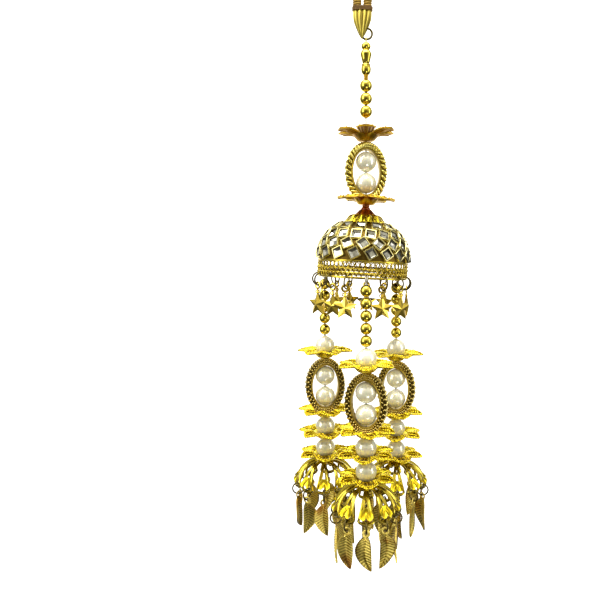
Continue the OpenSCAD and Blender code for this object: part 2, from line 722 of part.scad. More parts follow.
// Thread: a loop round the band's rail, then straight down through every bead to a knot under the cage
module strand_thread(s) {
    color("#e9e6da") at_strand(s) {
        translate([0, 0, -loop_mean_r]) wire_ring(loop_mean_r, loop_thread_d);
        translate([0, 0, s_knot_z - strand_slack[s]])
            cylinder(d = thread_d, h = -2 * loop_mean_r - s_knot_z + strand_slack[s], $fn = 24);
        translate([0, 0, s_knot_z - strand_slack[s]]) sphere(d = knot_d, $fn = 32);
    }
}

module strand_place(s, z) {
    at_strand(s) translate([0, 0, z - strand_slack[s]]) children();
}

module strand_balls(s) {
    color("#e6c63c") for (i = [0 : strand_ball_count - 1])
        strand_place(s, strand_ball_z(i)) drilled_sphere(strand_ball_d, bore_d);
}

module strand_pearls(s) {
    for (z = [s_pearl_1_z, s_pearl_4_z, s_pearl_5_z]) strand_place(s, z) pearl();
    for (z = [frame_pearl_high, frame_pearl_low]) strand_place(s, s_frame_z + z) pearl(frame_pearl_d);
}

module strand_flower(s, z, az) {
    strand_place(s, z) flower(az);
}

module strand_frame(s) {
    strand_place(s, s_frame_z) facing(strand_frame_yaw[s] - strand_az[s]) oval_frame("#8a6420");
}

// Window in a cage wall, seen square on at the middle of its arc: narrow above, wide below
module cage_window(top_w, low_w, low) {
    high = -cage_arc_r * 0.46;      // how far up the arc it starts
    rotate([0, 45, 0]) translate([0, 0, cage_arc_r * 0.3]) linear_extrude(far / 3)
        polygon([[high, -top_w / 2], [high, top_w / 2], [low - low_w / 2, low_w / 2], [low, low_w / 4],
            [low, -low_w / 4], [low - low_w / 2, -low_w / 2]]);
}

// Bell of petals: each petal is a loop with an open window, and slots open at the rim part the petals
module cage() {
    step = 360 / cage_petals;
    slot_w = 1.3;
    slot_h = cage_arc_r * 0.42 + cage_skirt;
    difference() {
        rotate_extrude($fn = 96) {
            difference() {
                intersection() {
                    translate([cage_top_r, -cage_arc_r]) circle(cage_arc_r, $fn = 96);
                    translate([0, -cage_arc_r]) square([far, cage_arc_r + 1]);
                }
                translate([cage_top_r, -cage_arc_r]) circle(cage_arc_r - cage_wall, $fn = 96);
                translate([-1, -far - cage_wall]) square([cage_top_r + 1, far]);
            }
            translate([cage_r - cage_wall, cage_rim_z]) square([cage_wall, cage_skirt + eps]);
        }
        cylinder(d = bore_d, h = far, center = true, $fn = 24);
        for (i = [0 : cage_petals - 1]) {
            rotate([0, 0, i * step - 90]) {
                translate([cage_top_r, 0, -cage_arc_r]) cage_window(0.7, 3, cage_arc_r * 0.48);
                translate([cage_r, 0, cage_hole_z]) rotate([0, 90, 0])
                    cylinder(d = hang_hole_d, h = 4, center = true, $fn = 24);
            }
            rotate([0, 0, (i + 0.5) * step - 90]) {
                translate([cage_top_r, 0, -cage_arc_r]) cage_window(0.5, slot_w, cage_arc_r * 0.55);
                translate([cage_r * 0.75, -slot_w / 2, cage_rim_z - 1]) cube([cage_r / 2, slot_w, slot_h + 1]);
            }
        }
    }
}

module strand_cage(s) {
    color("#d8bb33") strand_place(s, s_cage_z) cage();
}

module at_cage_hole(s, i) {
    strand_place(s, s_cage_z + cage_rim_z + cage_rail) facing(i * 360 / cage_petals)
        translate([0, -cage_rail_mid_r, ring_centre_z(leaf_ring_d)]) children();
}

module strand_leaf_rings(s) {
    color("#9a8250") for (i = [0 : cage_petals - 1]) at_cage_hole(s, i)
        rotate([0, 0, leaf_turns[s][i] / 3]) wire_ring(leaf_ring_mean_r, ring_wire_d);
}

// Blade between two unlike arcs, hollowed along its length, hanging below its eyelet
module leaf() {
    half_l = leaf_l / 2;
    bulges = [leaf_w * 0.58, leaf_w * 0.42];
    hollow_r = 7;
    tip_root = 0.35;        // how far the blade's point runs into the eyelet
    function arc_r(b) = (half_l * half_l + b * b) / (2 * b);
    eyelet();
    translate([0, 0, -eyelet_d / 2 + tip_root - half_l]) intersection() {
        rotate([90, 0, 0]) linear_extrude(2 * hollow_r, center = true) intersection() {
            translate([arc_r(bulges[0]) - bulges[0], 0]) circle(arc_r(bulges[0]), $fn = 96);
            translate([bulges[1] - arc_r(bulges[1]), 0]) circle(arc_r(bulges[1]), $fn = 96);
        }
        translate([0, hollow_r, 0]) difference() {
            cylinder(r = hollow_r + leaf_t / 2, h = 2 * leaf_l, center = true, $fn = 96);
            cylinder(r = hollow_r - leaf_t / 2, h = 3 * leaf_l, center = true, $fn = 96);
        }
    }
}

module strand_leaves(s) {
    color("#c2a040") for (i = [0 : cage_petals - 1]) at_cage_hole(s, i)
        translate([0, 0, -leaf_ring_mean_r - eyelet_drop(0)]) rotate([0, 0, leaf_turns[s][i]]) leaf();
}

module strand(s) {
    name = strand_names[s];
    strand_thread(s);
    strand_balls(s);
    strand_pearls(s);
    strand_flower(s, s_flower_a_z, 0);
    strand_frame(s);
    strand_flower(s, s_flower_b_z, 8);
    strand_flower(s, s_flower_c_z, -5);
    strand_flower(s, s_flower_d_z, 4);
    strand_cage(s);
    strand_leaf_rings(s);
    strand_leaves(s);
}

hanging_cord();
cord_binding();
thread_bundle();
hook_ring();
head_pin();
round_bead();
tapered_bead();
barrel_bead();
crimp_tube();
chain_ball(0);  // chain_ball_1
chain_ball(1);  // chain_ball_2
chain_ball(2);  // chain_ball_3
drop_thread();
translate([0, 0, top_flower_z]) flower(0);  // top_flower
top_frame();
translate([0, 0, top_frame_z + frame_pearl_high]) pearl(frame_pearl_d);  // top_pearl_1
translate([0, 0, top_frame_z + frame_pearl_low]) pearl(frame_pearl_d);  // top_pearl_2
lean() translate([0, 0, dome_flower_z]) flower(30);  // dome_flower
neck_bead();
crown_cap();
dome();
dome_stones();
star_rings();
stars();
for (s = [0 : len(strand_names) - 1]) strand(s);
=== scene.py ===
# A kalira, the gilt bridal ornament that hangs from a bangle, dressed for the camera. Blender works in metres.
# The pieces are worked out in the part's millimetres and brought to metres as each one is finished.
import math

import bpy
import bmesh
from mathutils import Matrix, Vector
from mathutils.noise import noise


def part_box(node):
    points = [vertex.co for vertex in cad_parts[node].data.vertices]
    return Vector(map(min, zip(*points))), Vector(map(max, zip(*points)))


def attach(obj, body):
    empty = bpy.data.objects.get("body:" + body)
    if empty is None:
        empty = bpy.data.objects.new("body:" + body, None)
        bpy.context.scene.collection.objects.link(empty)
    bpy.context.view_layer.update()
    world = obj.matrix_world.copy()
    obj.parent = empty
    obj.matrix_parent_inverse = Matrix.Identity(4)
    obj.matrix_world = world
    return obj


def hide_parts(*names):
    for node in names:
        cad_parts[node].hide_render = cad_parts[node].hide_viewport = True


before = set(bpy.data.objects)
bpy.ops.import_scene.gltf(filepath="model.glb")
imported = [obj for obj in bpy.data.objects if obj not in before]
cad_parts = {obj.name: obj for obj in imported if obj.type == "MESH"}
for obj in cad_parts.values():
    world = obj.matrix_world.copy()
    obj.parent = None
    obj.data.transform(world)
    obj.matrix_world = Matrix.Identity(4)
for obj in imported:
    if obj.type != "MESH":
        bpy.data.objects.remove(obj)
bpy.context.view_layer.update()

MM = 0.001
TURN = 2 * math.pi


# Places and sizes, from the part's source and from the solids. Lengths are in millimetres and angles in
# degrees. Azimuth 0 faces the viewer, and 90 is to the viewer's right.

# Gap between neighbours on a thread
FIT = 0.1
STRANDS = ["front", "right", "left"]
STRAND_AZIMUTH = {"front": 5, "right": 125, "left": -115}
# The cord's middle line as (x, z), from its left end up round the loop to its right end
CORD_ROUTE = [
    (-3.4, -23), (-3.4, -20), (-3.4, -17.5), (-4, -14.5), (-5.7, -11.9), (-7.2, -9.7), (-8, -7), (-7.7, -4.2),
    (-6.6, -1.7), (-4.6, 0.3), (-2.1, 1.4), (0, 1.7), (2.1, 1.4), (4.6, 0.3), (6.6, -1.7), (7.7, -4.2), (8, -7),
    (7.2, -9.7), (6.1, -11.4), (4.3, -13.1), (1.7, -15.8), (0.9, -17.7), (0.6, -19.8), (0.6, -21.5), (0.6, -23)]
CORD_D = 3.3
LEG_X = [-3.4, 0.6]
CORD_END_Z = -23
THREAD_D = 0.6
BORE_D = 0.95
PIN_D = 0.5
PIN_PLAY = 0.175
KNOT_R = 1.1
PEARL_D = 8.1
BALL_D = 4.85
STRAND_BALL_D = 4.6
STRAND_BALLS = 5
FLOWER_R = 11.6
FLOWER_FLOOR_T = 0.9
PETALS = 6
# Half width and half height of the oval frames' middle line, and its length round
FRAME_MID = [6.9, 10.3]
OVAL_LENGTH = 54.6
EDGE_GRAIN = (0.45, 0.46, 1.15)
FRAME_YAW = {"top": 8, "front": -9, "right": -12, "left": 10}
FRAME_PEARL = 4.2
DOME_LEAN = 3
DOME_ARC_X = 2.4
DOME_ARC_R = 15.5
DOME_SHELL_T = 1
BEZEL_SIDE = 4.25
BEZEL_PROUD = 1.1
BAND_R = 17.7
BAND_H = 7
RAIL_H = 0.85
RAIL_MID_R = 17.25
# Each row of stones: degrees up the dome's arc, how many, azimuth of the first, and how far the stones are
# turned at the far left and at the far right
STONE_ROWS = [(9.5, 18, 9, 22, 38), (23.2, 18, -1, 16, 60), (37.5, 18, 9, 22, -32), (55, 12, -7, 14, -20)]
# Places round the rail. Every fifth carries a strand, and the others a star each
HANG_COUNT = 15
STAR_SLOTS = [i for i in range(HANG_COUNT) if i % 5]
STAR_R = 4.85
STAR_RING_D = 5.6
# How far in and out from the rail's middle line the stars hang by turns
STAR_STAGGER = 1.25
RING_WIRE_D = 0.5
# The finished rings' wire is this much thicker than the solids', all round
RING_PLATING = 0.07
RING_PLAY = 0.14
EYELET_D = 2.4
EYELET_HOLE_D = 1.4
EYELET_T = 0.5
# How far each strand's flowers are turned, from the top one down
FLOWER_TURNS = {"front": [0, 8, -5, 4], "right": [20, 12, -5, 16], "left": [26, 22, 18, 4]}
CAGE_PETALS = 10
CAGE_R = 12.3
CAGE_TOP_R = 3
CAGE_ARC_R = 9.3
CAGE_SKIRT = 0.7
CAGE_RAIL = 0.6
CAGE_RAIL_R = 11.85
LEAF_RING_D = 5
LEAF_L = 13.6
LEAF_W = 5.8
# How far each cage's leaves are turned on their rings, counted round from the front
LEAF_TURNS = {
    "front": [12, -38, 30, -48, 20, 46, -24, 48, -14, 34],
    "right": [-30, 22, 48, -12, 40, -46, 16, -34, 48, 8],
    "left": [26, -18, 44, -48, 10, 34, -48, 22, -40, 14]}


def low(node):
    return Vector(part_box(node)[0]) / MM


def high(node):
    return Vector(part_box(node)[1]) / MM


def middle(node):
    return (low(node) + high(node)) / 2


def shift(x, y, z):
    return Matrix.Translation((x, y, z))


def spin(degrees, axis="Z"):
    return Matrix.Rotation(math.radians(degrees), 4, axis)


# The thread bends just under the top frame. The dome and what is fixed to it lean as one, while the strands
# and the stars hang plumb
LEAN_Z = low("top_frame")[2] - 0.25
LEAN = shift(0, 0, LEAN_Z) @ spin(DOME_LEAN, "Y") @ shift(0, 0, -LEAN_Z)
DOME_FLOWER_Z = LEAN_Z - FLOWER_FLOOR_T
CROWN_H = 5.6
NECK_H = 1.5
CROWN_TOP_Z = DOME_FLOWER_Z - NECK_H - 2 * FIT
DOME_H = 14.3
DOME_BASE_Z = CROWN_TOP_Z - CROWN_H - FIT - DOME_H
RAIL_TOP_Z = DOME_BASE_Z - BAND_H + RAIL_H


def round_at(radius, azimuth, z):
    a = math.radians(azimuth)
    return Vector((radius * math.sin(a), -radius * math.cos(a), z))


def strand_axis(name):
    """Upright line of a strand, through the middle of its metal balls."""
    centre = middle(f"{name}_balls")
    return centre[0], centre[1]


def pearl_heights(name):
    frame_z = middle(f"{name}_frame")[2]
    on_flower = [low(f"{name}_flower_{key}")[2] + FLOWER_FLOOR_T + FIT + PEARL_D / 2 for key in "acd"]
    return [on_flower[0], frame_z + FRAME_PEARL, frame_z - FRAME_PEARL, on_flower[1], on_flower[2]]


# Shapes, each as points and faces in millimetres

class Work:
    """Points and faces of one piece as it is put together."""

    def __init__(self):
        self.points = []
        self.faces = []

    def add(self, shape, place=Matrix()):
        points, faces = shape
        first = len(self.points)
        self.points += [place @ Vector(p) for p in points]
        self.faces += [[first + i for i in face] for face in faces]
        return self

    def placed(self, place):
        return Work().add((self.points, self.faces), place)


def skin(rings, loop=False):
    """Surface through rings of points. With loop the last ring meets the first, else both ends are closed."""
    n = len(rings[0])
    count = len(rings)
    faces = []
    for k in range(count if loop else count - 1):
        a, b = k * n, (k + 1) % count * n
        faces += [[a + i, a + (i + 1) % n, b + (i + 1) % n, b + i] for i in range(n)]
    if not loop:
        faces += [list(range(n))[::-1], [(count - 1) * n + i for i in range(n)]]
    return [p for ring in rings for p in ring], faces


def tube(path, radius, sides=8, loop=False, ribs=None):
    """Round wire along a path. radius is one number or a number for each point.

    ribs(point, angle) may swell the wire, where point counts along the path.
    """
    path = [Vector(p) for p in path]
    count = len(path)
    radii = radius if isinstance(radius, list) else [radius] * count
    rings = []
    side = None
    for i, p in enumerate(path):
        ahead = path[(i + 1) % count] if loop or i < count - 1 else p
        behind = path[i - 1] if loop or i else p
        along = (ahead - behind).normalized()
        side = along.orthogonal() if side is None else side
        side = (side - along * side.dot(along)).normalized()
        up = along.cross(side)
        ring = []
        for k in range(sides):
            a = TURN * k / sides
            r = radii[i] + (ribs(i, a) if ribs else 0)
            ring.append(p + (side * math.cos(a) + up * math.sin(a)) * r)
        rings.append(ring)
    return skin(rings, loop)


def circle(radius, count=32):
    """Path of a ring whose hole faces X."""
    return [(0, radius * math.cos(TURN * k / count), radius * math.sin(TURN * k / count)) for k in range(count)]


def lathe(outline, sides=48, swell=None):
    """A closed outline of (radius, height) turned round Z. swell(angle, radius, height) may move each point."""
    rings = []
    for k in range(sides):
        a = TURN * k / sides
        ring = []
        for r, z in outline:
            if swell:
                r, z = swell(a, r, z)
            ring.append((r * math.cos(a), r * math.sin(a), z))
        rings.append(ring)
    return skin(rings, loop=True)


def drilled_ball(d, bore=BORE_D, sides=36):
    """A ball with a hole from top to bottom, open where the hole leaves it."""
    lip = math.asin(bore / d)
    steps = sides // 2
    arc = [lip + (math.pi - 2 * lip) * k / steps for k in range(steps + 1)]
    return lathe([(d / 2 * math.sin(t), d / 2 * math.cos(t)) for t in arc], sides)


def turned_bead(d, h, outline):
    """A bead on the pin. outline gives heights and radii as shares of its half height and half width."""
    bore_r = PIN_D / 2 + PIN_PLAY
    side = [(share * d / 2, up * h / 2) for up, share in outline]
    return lathe([(bore_r, -h / 2)] + side + [(bore_r, h / 2)])


def lump(sides=8, rings=5):
    """Unit ball of few faces, for grains and rope strands, cut off flat just short of its poles."""
    first_ring, span = 0.06, 0.88
    cuts = []
    for k in range(rings + 1):
        t = math.pi * (first_ring + span * k / rings)
        cuts.append([
            (math.sin(t) * math.cos(TURN * i / sides), math.sin(t) * math.sin(TURN * i / sides), math.cos(t))
            for i in range(sides)])
    return skin(cuts)


def plate(rows, columns, top, under):
    """Closed thin sheet between two surfaces, each a function of two shares from 0 to 1."""
    n = columns + 1
    half = (rows + 1) * n
    points = [face(i / rows, j / columns) for face in (top, under) for i in range(rows + 1) for j in range(n)]
    faces = []
    for i in range(rows):
        for j in range(columns):
            a = i * n + j
            faces += [[a, a + 1, a + n + 1, a + n], [half + a, half + a + n, half + a + n + 1, half + a + 1]]
    rim = list(range(n)) + [i * n + columns for i in range(1, rows + 1)]
    rim += [rows * n + j for j in range(columns - 1, -1, -1)] + [i * n for i in range(rows - 1, 0, -1)]
    faces += [[a, half + a, half + b, b] for a, b in zip(rim, rim[1:] + rim[:1])]
    return points, faces


def smooth_route(points, step):
    """Even steps along a smooth curve through the points."""
    points = [Vector(p) for p in points]
    parts = 24
    dense = []
    for i in range(len(points) - 1):
        a, b = points[max(i - 1, 0)], points[i]
        c, d = points[i + 1], points[min(i + 2, len(points) - 1)]
        for k in range(parts):
            t = k / parts
            dense.append(0.5 * (2 * b + (c - a) * t + (2 * a - 5 * b + 4 * c - d) * t * t
                                + (3 * b - a - 3 * c + d) * t ** 3))
    dense.append(points[-1])
    reach = [0]
    for p, q in zip(dense, dense[1:]):
        reach.append(reach[-1] + (q - p).length)
    count = round(reach[-1] / step)
    even = []
    at = 0
    for k in range(count + 1):
        want = reach[-1] * k / count
        while at < len(dense) - 2 and reach[at + 1] < want:
            at += 1
        share = (want - reach[at]) / (reach[at + 1] - reach[at])
        even.append(dense[at].lerp(dense[at + 1], share))
    return even, reach[-1]


# Finishes

def srgb(code):
    """A hex colour as linear red, green, blue and alpha."""
    parts = [int(code[i:i + 2], 16) / 255 for i in (1, 3, 5)]
    return [c / 12.92 if c <= 0.04045 else ((c + 0.055) / 1.055) ** 2.4 for c in parts] + [1]


def add_node(tree, kind, settings=None, links=None):
    """Adds a node. Lower-case names and numbers set in settings are its own fields or its sockets' values."""
    made = tree.nodes.new(kind)
    for name, value in (settings or {}).items():
        if isinstance(name, str) and name.islower():
            setattr(made, name, value)
        else:
            made.inputs[name].default_value = value
    for name, source in (links or {}).items():
        tree.links.new(source, made.inputs[name])
    return made


def blank(name):
    """A new material, its node tree and its one shader."""
    made = bpy.data.materials.new(name)
    made.use_nodes = True
    tree = made.node_tree
    return made, tree, tree.nodes["Principled BSDF"]


def ramp(tree, source, stops):
    """Turns a value into a colour, by stops of (value, hex colour)."""
    made = add_node(tree, "ShaderNodeValToRGB", links={"Fac": source})
    edge = made.color_ramp.elements
    while len(edge) < len(stops):
        edge.new(0.5)
    for element, (place, colour) in zip(edge, stops):
        element.position = place
        element.color = srgb(colour)
    return made.outputs["Color"]


PATCH_MM = 3
WORN_PATCH_MM = 9


def gilt(name, bright, hollow_tone_and_shade, roughness, grain_mm=0.5, grain_depth_mm=0.02, tone_and_shade_range=(0.44, 0.53), blush=None):
    """Gold-plated brass, bright on what stands proud and brown in the hollows: partly the plating's unpolished
    tone, partly painted shade.

    tone_and_shade_range gives the pointiness at which the brown hollows end and the bright plating starts.
    blush is the colour of the patches where the plating has worn thin.
    """
    made, tree, shader = blank(name)
    spot = add_node(tree, "ShaderNodeTexCoord").outputs["Object"]
    edges = add_node(tree, "ShaderNodeNewGeometry").outputs["Pointiness"]
    patches = add_node(tree, "ShaderNodeTexNoise", {"Scale": 1 / (PATCH_MM * MM), "Detail": 3}, {"Vector": spot})
    grain = add_node(tree, "ShaderNodeTexNoise", {"Scale": 1 / (grain_mm * MM), "Detail": 2}, {"Vector": spot})
    uneven = add_node(tree, "ShaderNodeMath", {"operation": "MULTIPLY_ADD", 1: 0.05, 2: -0.025},
                      {0: patches.outputs["Fac"]})
    height = add_node(tree, "ShaderNodeMath", {"operation": "ADD"}, {0: edges, 1: uneven.outputs[0]})
    # Colour where pointiness is low: painted shade in the hollows, partly the plating's own unpolished tone
    colour = ramp(tree, height.outputs[0], [(tone_and_shade_range[0], hollow_tone_and_shade), (tone_and_shade_range[1], bright)])
    if blush:
        worn = add_node(tree, "ShaderNodeTexNoise", {"Scale": 1 / (WORN_PATCH_MM * MM), "Detail": 1},
                        {"Vector": spot})
        share = add_node(tree, "ShaderNodeMapRange", {"From Min": 0.57, "From Max": 0.72, "To Max": 0.75},
                         {"Value": worn.outputs["Fac"]})
        tint = add_node(tree, "ShaderNodeMixRGB", {"Color2": srgb(blush)},
                        {"Fac": share.outputs["Result"], "Color1": colour})
        colour = tint.outputs["Color"]
    rough = add_node(tree, "ShaderNodeMapRange", {"To Min": roughness * 0.75, "To Max": roughness * 1.35},
                     {"Value": patches.outputs["Fac"]})
    bump = add_node(tree, "ShaderNodeBump", {"Strength": 0.6, "Distance": grain_depth_mm * MM},
                    {"Height": grain.outputs["Fac"]})
    shader.inputs["Metallic"].default_value = 1
    tree.links.new(colour, shader.inputs["Base Color"])
    tree.links.new(rough.outputs["Result"], shader.inputs["Roughness"])
    tree.links.new(bump.outputs["Normal"], shader.inputs["Normal"])
    return made


def pearl_coating():
    """Acrylic beads dipped in pearl essence: ivory below, a soft glossy skin above."""
    made, tree, shader = blank("pearl_coating")
    spot = add_node(tree, "ShaderNodeTexCoord").outputs["Object"]
    bloom = add_node(tree, "ShaderNodeTexNoise", {"Scale": 1 / (4 * MM), "Detail": 2}, {"Vector": spot})
    tree.links.new(ramp(tree, bloom.outputs["Fac"], [(0.35, "#fffce8"), (0.65, "#f9f3d2")]),
                   shader.inputs["Base Color"])
    skin_bump = add_node(tree, "ShaderNodeBump", {"Strength": 0.15, "Distance": 0.02 * MM},
                         {"Height": bloom.outputs["Fac"]})
    tree.links.new(skin_bump.outputs["Normal"], shader.inputs["Normal"])
    shader.inputs["Metallic"].default_value = 0.28
    shader.inputs["Roughness"].default_value = 0.16
    shader.inputs["Subsurface Weight"].default_value = 0.25
    shader.inputs["Subsurface Radius"].default_value = (1, 0.8, 0.5)
    shader.inputs["Subsurface Scale"].default_value = 0.8 * MM
    shader.inputs["Coat Weight"].default_value = 1
    shader.inputs["Coat Roughness"].default_value = 0.05
    return made


def foiled_stone():
    """Clear cut acrylic over silver foil: each facet is a small mirror, slightly grey."""
    made, tree, shader = blank("foiled_stone")
    spot = add_node(tree, "ShaderNodeTexCoord").outputs["Object"]
    clouds = add_node(tree, "ShaderNodeTexNoise", {"Scale": 1 / (1.6 * MM), "Detail": 2}, {"Vector": spot})
    tree.links.new(ramp(tree, clouds.outputs["Fac"], [(0.35, "#bcbcb2"), (0.65, "#86847a")]),
                   shader.inputs["Base Color"])
    shader.inputs["Metallic"].default_value = 1
    shader.inputs["Roughness"].default_value = 0.07
    shader.inputs["Coat Weight"].default_value = 1
    shader.inputs["Coat Roughness"].default_value = 0.02
    return made


def nylon():
    """Extruded nylon thread, clear to whitish, which passes the light on."""
    made, tree, shader = blank("nylon")
    spot = add_node(tree, "ShaderNodeTexCoord").outputs["Object"]
    streak = add_node(tree, "ShaderNodeTexNoise", {"Scale": 1 / (0.8 * MM), "Detail": 1}, {"Vector": spot})
    tree.links.new(ramp(tree, streak.outputs["Fac"], [(0.3, "#f3f1ea"), (0.7, "#dcd8c8")]),
                   shader.inputs["Base Color"])
    shader.inputs["Roughness"].default_value = 0.3
    shader.inputs["IOR"].default_value = 1.53
    shader.inputs["Transmission Weight"].default_value = 0.45
    return made


def spun_thread(name, light, dark, fibre_mm, metallic, roughness):
    """Metallic yarn: foil wrapped round a fibre core, so it glints in short dashes along the thread."""
    made, tree, shader = blank(name)
    spot = add_node(tree, "ShaderNodeTexCoord").outputs["Object"]
    fibre = add_node(tree, "ShaderNodeTexNoise", {"Scale": 1 / (fibre_mm * MM), "Detail": 3}, {"Vector": spot})
    edges = add_node(tree, "ShaderNodeNewGeometry").outputs["Pointiness"]
    # Pointiness darkens the creases between turns and threads: painted shade
    mix = add_node(tree, "ShaderNodeMath", {"operation": "MULTIPLY_ADD", 1: 0.12},
                   {0: fibre.outputs["Fac"], 2: edges})
    tree.links.new(ramp(tree, mix.outputs[0], [(0.49, dark), (0.6, light)]), shader.inputs["Base Color"])
    bump = add_node(tree, "ShaderNodeBump", {"Strength": 0.7, "Distance": 0.04 * MM},
                    {"Height": fibre.outputs["Fac"]})
    tree.links.new(bump.outputs["Normal"], shader.inputs["Normal"])
    shader.inputs["Metallic"].default_value = metallic
    shader.inputs["Roughness"].default_value = roughness
    return made


# Brass beads, barrel-polished before plating: a mirror with a pale top and an olive foot
BALL_GILT = gilt("polished_gilt", "#d8c450", "#a08020", roughness=0.09, grain_mm=0.8, grain_depth_mm=0.004)
# Brass sheet stamped into petals: lemon yellow on every ridge, brown between
FLOWER_GILT = gilt("stamped_yellow_gilt", "#f6de38", "#624608", roughness=0.22, tone_and_shade_range=(0.48, 0.55))
# Darker gold brown with a bright rim: painted shade on the underside of the top flower, also used on the crimp
# tube
BROWN_SHADE_GILT = gilt("brown_shade_gilt", "#d8b030", "#7a5004", roughness=0.34, tone_and_shade_range=(0.49, 0.6))
# A flat stamped plate, duller than the flowers: old gold
PLATE_GILT = gilt("gold_brown_plate", "#dcb838", "#74500a", roughness=0.3, tone_and_shade_range=(0.48, 0.56))
# Twisted wire of the top frame: pale gold strands
ROPE_GILT = gilt("rope_gilt", "#ecdc78", "#5e4e16", roughness=0.2)
# Cast plait of the strand frames, darkened and rubbed back: olive with small glints
ANTIQUE_GILT = gilt("antiqued_gilt", "#d6c276", "#4c4012", roughness=0.15, tone_and_shade_range=(0.46, 0.55))
# Painted shade for the insides of the bezels and the gaps under the strand frames' plait: dull dark olive
HOLLOW_SHADE_GILT = gilt("painted_shade_hollows", "#5e5022", "#382e0e", roughness=0.4)
# Painted shade between the top frame's brighter strands
SHADE_GILT = gilt("rope_shadow_gilt", "#8c7830", "#50420f", roughness=0.42)
# Plain strip that lines the ovals: satin gold
LINING_GILT = gilt("lining_gilt", "#b8a048", "#6a561c", roughness=0.42)
# Spun dome under the glued stones: dark brown, painted shade in the gaps between the bezels and inside the bell
DOME_GILT = gilt("dome_shell_gilt", "#6a5420", "#2c200a", roughness=0.4)
# Folded bezel strip, rubbed over the stone: pale, almost silvery rims
BEZEL_GILT = gilt("bezel_gilt", "#cdc284", "#665a2a", roughness=0.2, tone_and_shade_range=(0.47, 0.56))
# Soldered filigree wire: many small glints on olive gold
BAND_GILT = gilt("band_gilt", "#c8b040", "#4c3e0c", roughness=0.24)
# Die-cast stars, tumbled bright: each facet flashes on its own
STAR_GILT = gilt("cast_star_gilt", "#ecce54", "#8c6a1a", roughness=0.15, tone_and_shade_range=(0.46, 0.54))
# Bent wire of the cages: golden backs, dark flanks
CAGE_GILT = gilt("cage_wire_gilt", "#d0bc46", "#54440c", roughness=0.18, tone_and_shade_range=(0.47, 0.55))
# Stamped tabs on the cages: the same lemon yellow as the flowers
TAB_GILT = gilt("cage_tab_gilt", "#f8e030", "#8a6c0c", roughness=0.22, tone_and_shade_range=(0.47, 0.54))
# Cups in the tabs' shade: dark olive
CUP_GILT = gilt("cage_cup_gilt", "#8c7828", "#2e2408", roughness=0.26)
# Leaves stamped from thin sheet and plated last: satin gold with copper showing in patches
LEAF_GILT = gilt("leaf_gilt", "#f6de72", "#7c641a", roughness=0.3, grain_mm=0.35, grain_depth_mm=0.04,
                 tone_and_shade_range=(0.465, 0.52), blush="#a0581a")
# Drawn iron wire, lightly gilt: dark grey gold
WIRE_GILT = gilt("ring_wire", "#64582e", "#302810", roughness=0.36)
# Gilt under red-brown lacquer: the neck and the crown's cone
RED_GILT = gilt("red_lacquered_gilt", "#b0602a", "#542010", roughness=0.24)
PEARL = pearl_coating()
STONE = foiled_stone()
NYLON = nylon()
# Zari yarn wound on the cord: brown gold with dark joints between the turns
CORD_YARN = spun_thread("wound_cord_yarn", "#b08c30", "#40300a", fibre_mm=0.25, metallic=0.25, roughness=0.5)
# Loose zari threads, the lit copy: pale gold where they stand out, olive between
BUNDLE_YARN = spun_thread("gold_thread", "#e0cc5c", "#74601a", fibre_mm=0.3, metallic=0.8, roughness=0.32)
# The same threads in a copy painted in shade, for those where others lie over them: dull olive
SHADED_YARN = spun_thread("gold_thread_painted_shade", "#887628", "#38300c", fibre_mm=0.3, metallic=0.8, roughness=0.4)
# Matt brown binding thread
BINDING_YARN = spun_thread("dark_binding_yarn", "#745420", "#2a1a08", fibre_mm=0.2, metallic=0, roughness=0.7)


# Finishing a piece

def finish_piece(name, work, material, body, nodes=(), sharp=40):
    """Makes the object. Edges that turn by more than sharp stay crisp, and nodes are what it stands for."""
    mesh = bpy.data.meshes.new(name)
    mesh.from_pydata([p * MM for p in work.points], [], work.faces)
    tidy = bmesh.new()
    tidy.from_mesh(mesh)
    bmesh.ops.recalc_face_normals(tidy, faces=tidy.faces)
    tidy.to_mesh(mesh)
    tidy.free()
    mesh.shade_smooth()
    mesh.set_sharp_from_angle(angle=math.radians(sharp))
    mesh.materials.append(material)
    made = bpy.data.objects.new(name, mesh)
    bpy.context.scene.collection.objects.link(made)
    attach(made, body)
    if nodes:
        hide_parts(*nodes)
    return made


# Camera and cord, which come first

CAMERA_PLACE = (0, -0.236, -0.117)
CAMERA_TILT = 4.36
CAMERA_LENS = 35.4
CAMERA_SENSOR = 36
CAMERA_SHIFT = -0.11


def set_camera():
    """The photograph's view: level with the ornament's middle, tilted down, the ornament right of centre."""
    eye = bpy.data.cameras.new("photo_camera")
    eye.lens = CAMERA_LENS
    eye.sensor_width = CAMERA_SENSOR
    eye.shift_x = CAMERA_SHIFT
    eye.clip_start = 0.01
    made = bpy.data.objects.new("photo_camera", eye)
    made.location = CAMERA_PLACE
    made.rotation_euler = (math.radians(90 - CAMERA_TILT), 0, 0)
    bpy.context.scene.collection.objects.link(made)
    bpy.context.scene.camera = made


def make_cord():
    """A core wound close with yarn: the ribs run round it, one for each turn of the yarn."""
    pitch = 0.95
    depth = 0.34
    crest = 0.08
    path, length = smooth_route([(x, 0, z) for x, z in CORD_ROUTE], 0.14)
    step = length / (len(path) - 1)

    def ribs(i, a):
        return crest - depth * (0.5 - 0.5 * math.cos(TURN * i * step / pitch - a)) ** 2

    work = Work().add(tube(path, CORD_D / 2, 20, ribs=ribs))
    cord = finish_piece("wound_cord", work, CORD_YARN, "loop", ["hanging_cord"])


set_camera()
make_cord()


# Binding, thread bundle, top ring and head pin

def stadium(inner_r, z, count=40):
    """Path round both cord ends at one height."""
    middle_x = sum(LEG_X) / 2
    reach = (LEG_X[1] - LEG_X[0]) / 2
    path = []
    for k in range(count):
        a = TURN * k / count
        leg_x = middle_x + math.copysign(reach, math.cos(a))
        path.append((leg_x + inner_r * math.cos(a), inner_r * math.sin(a), z))
    return path


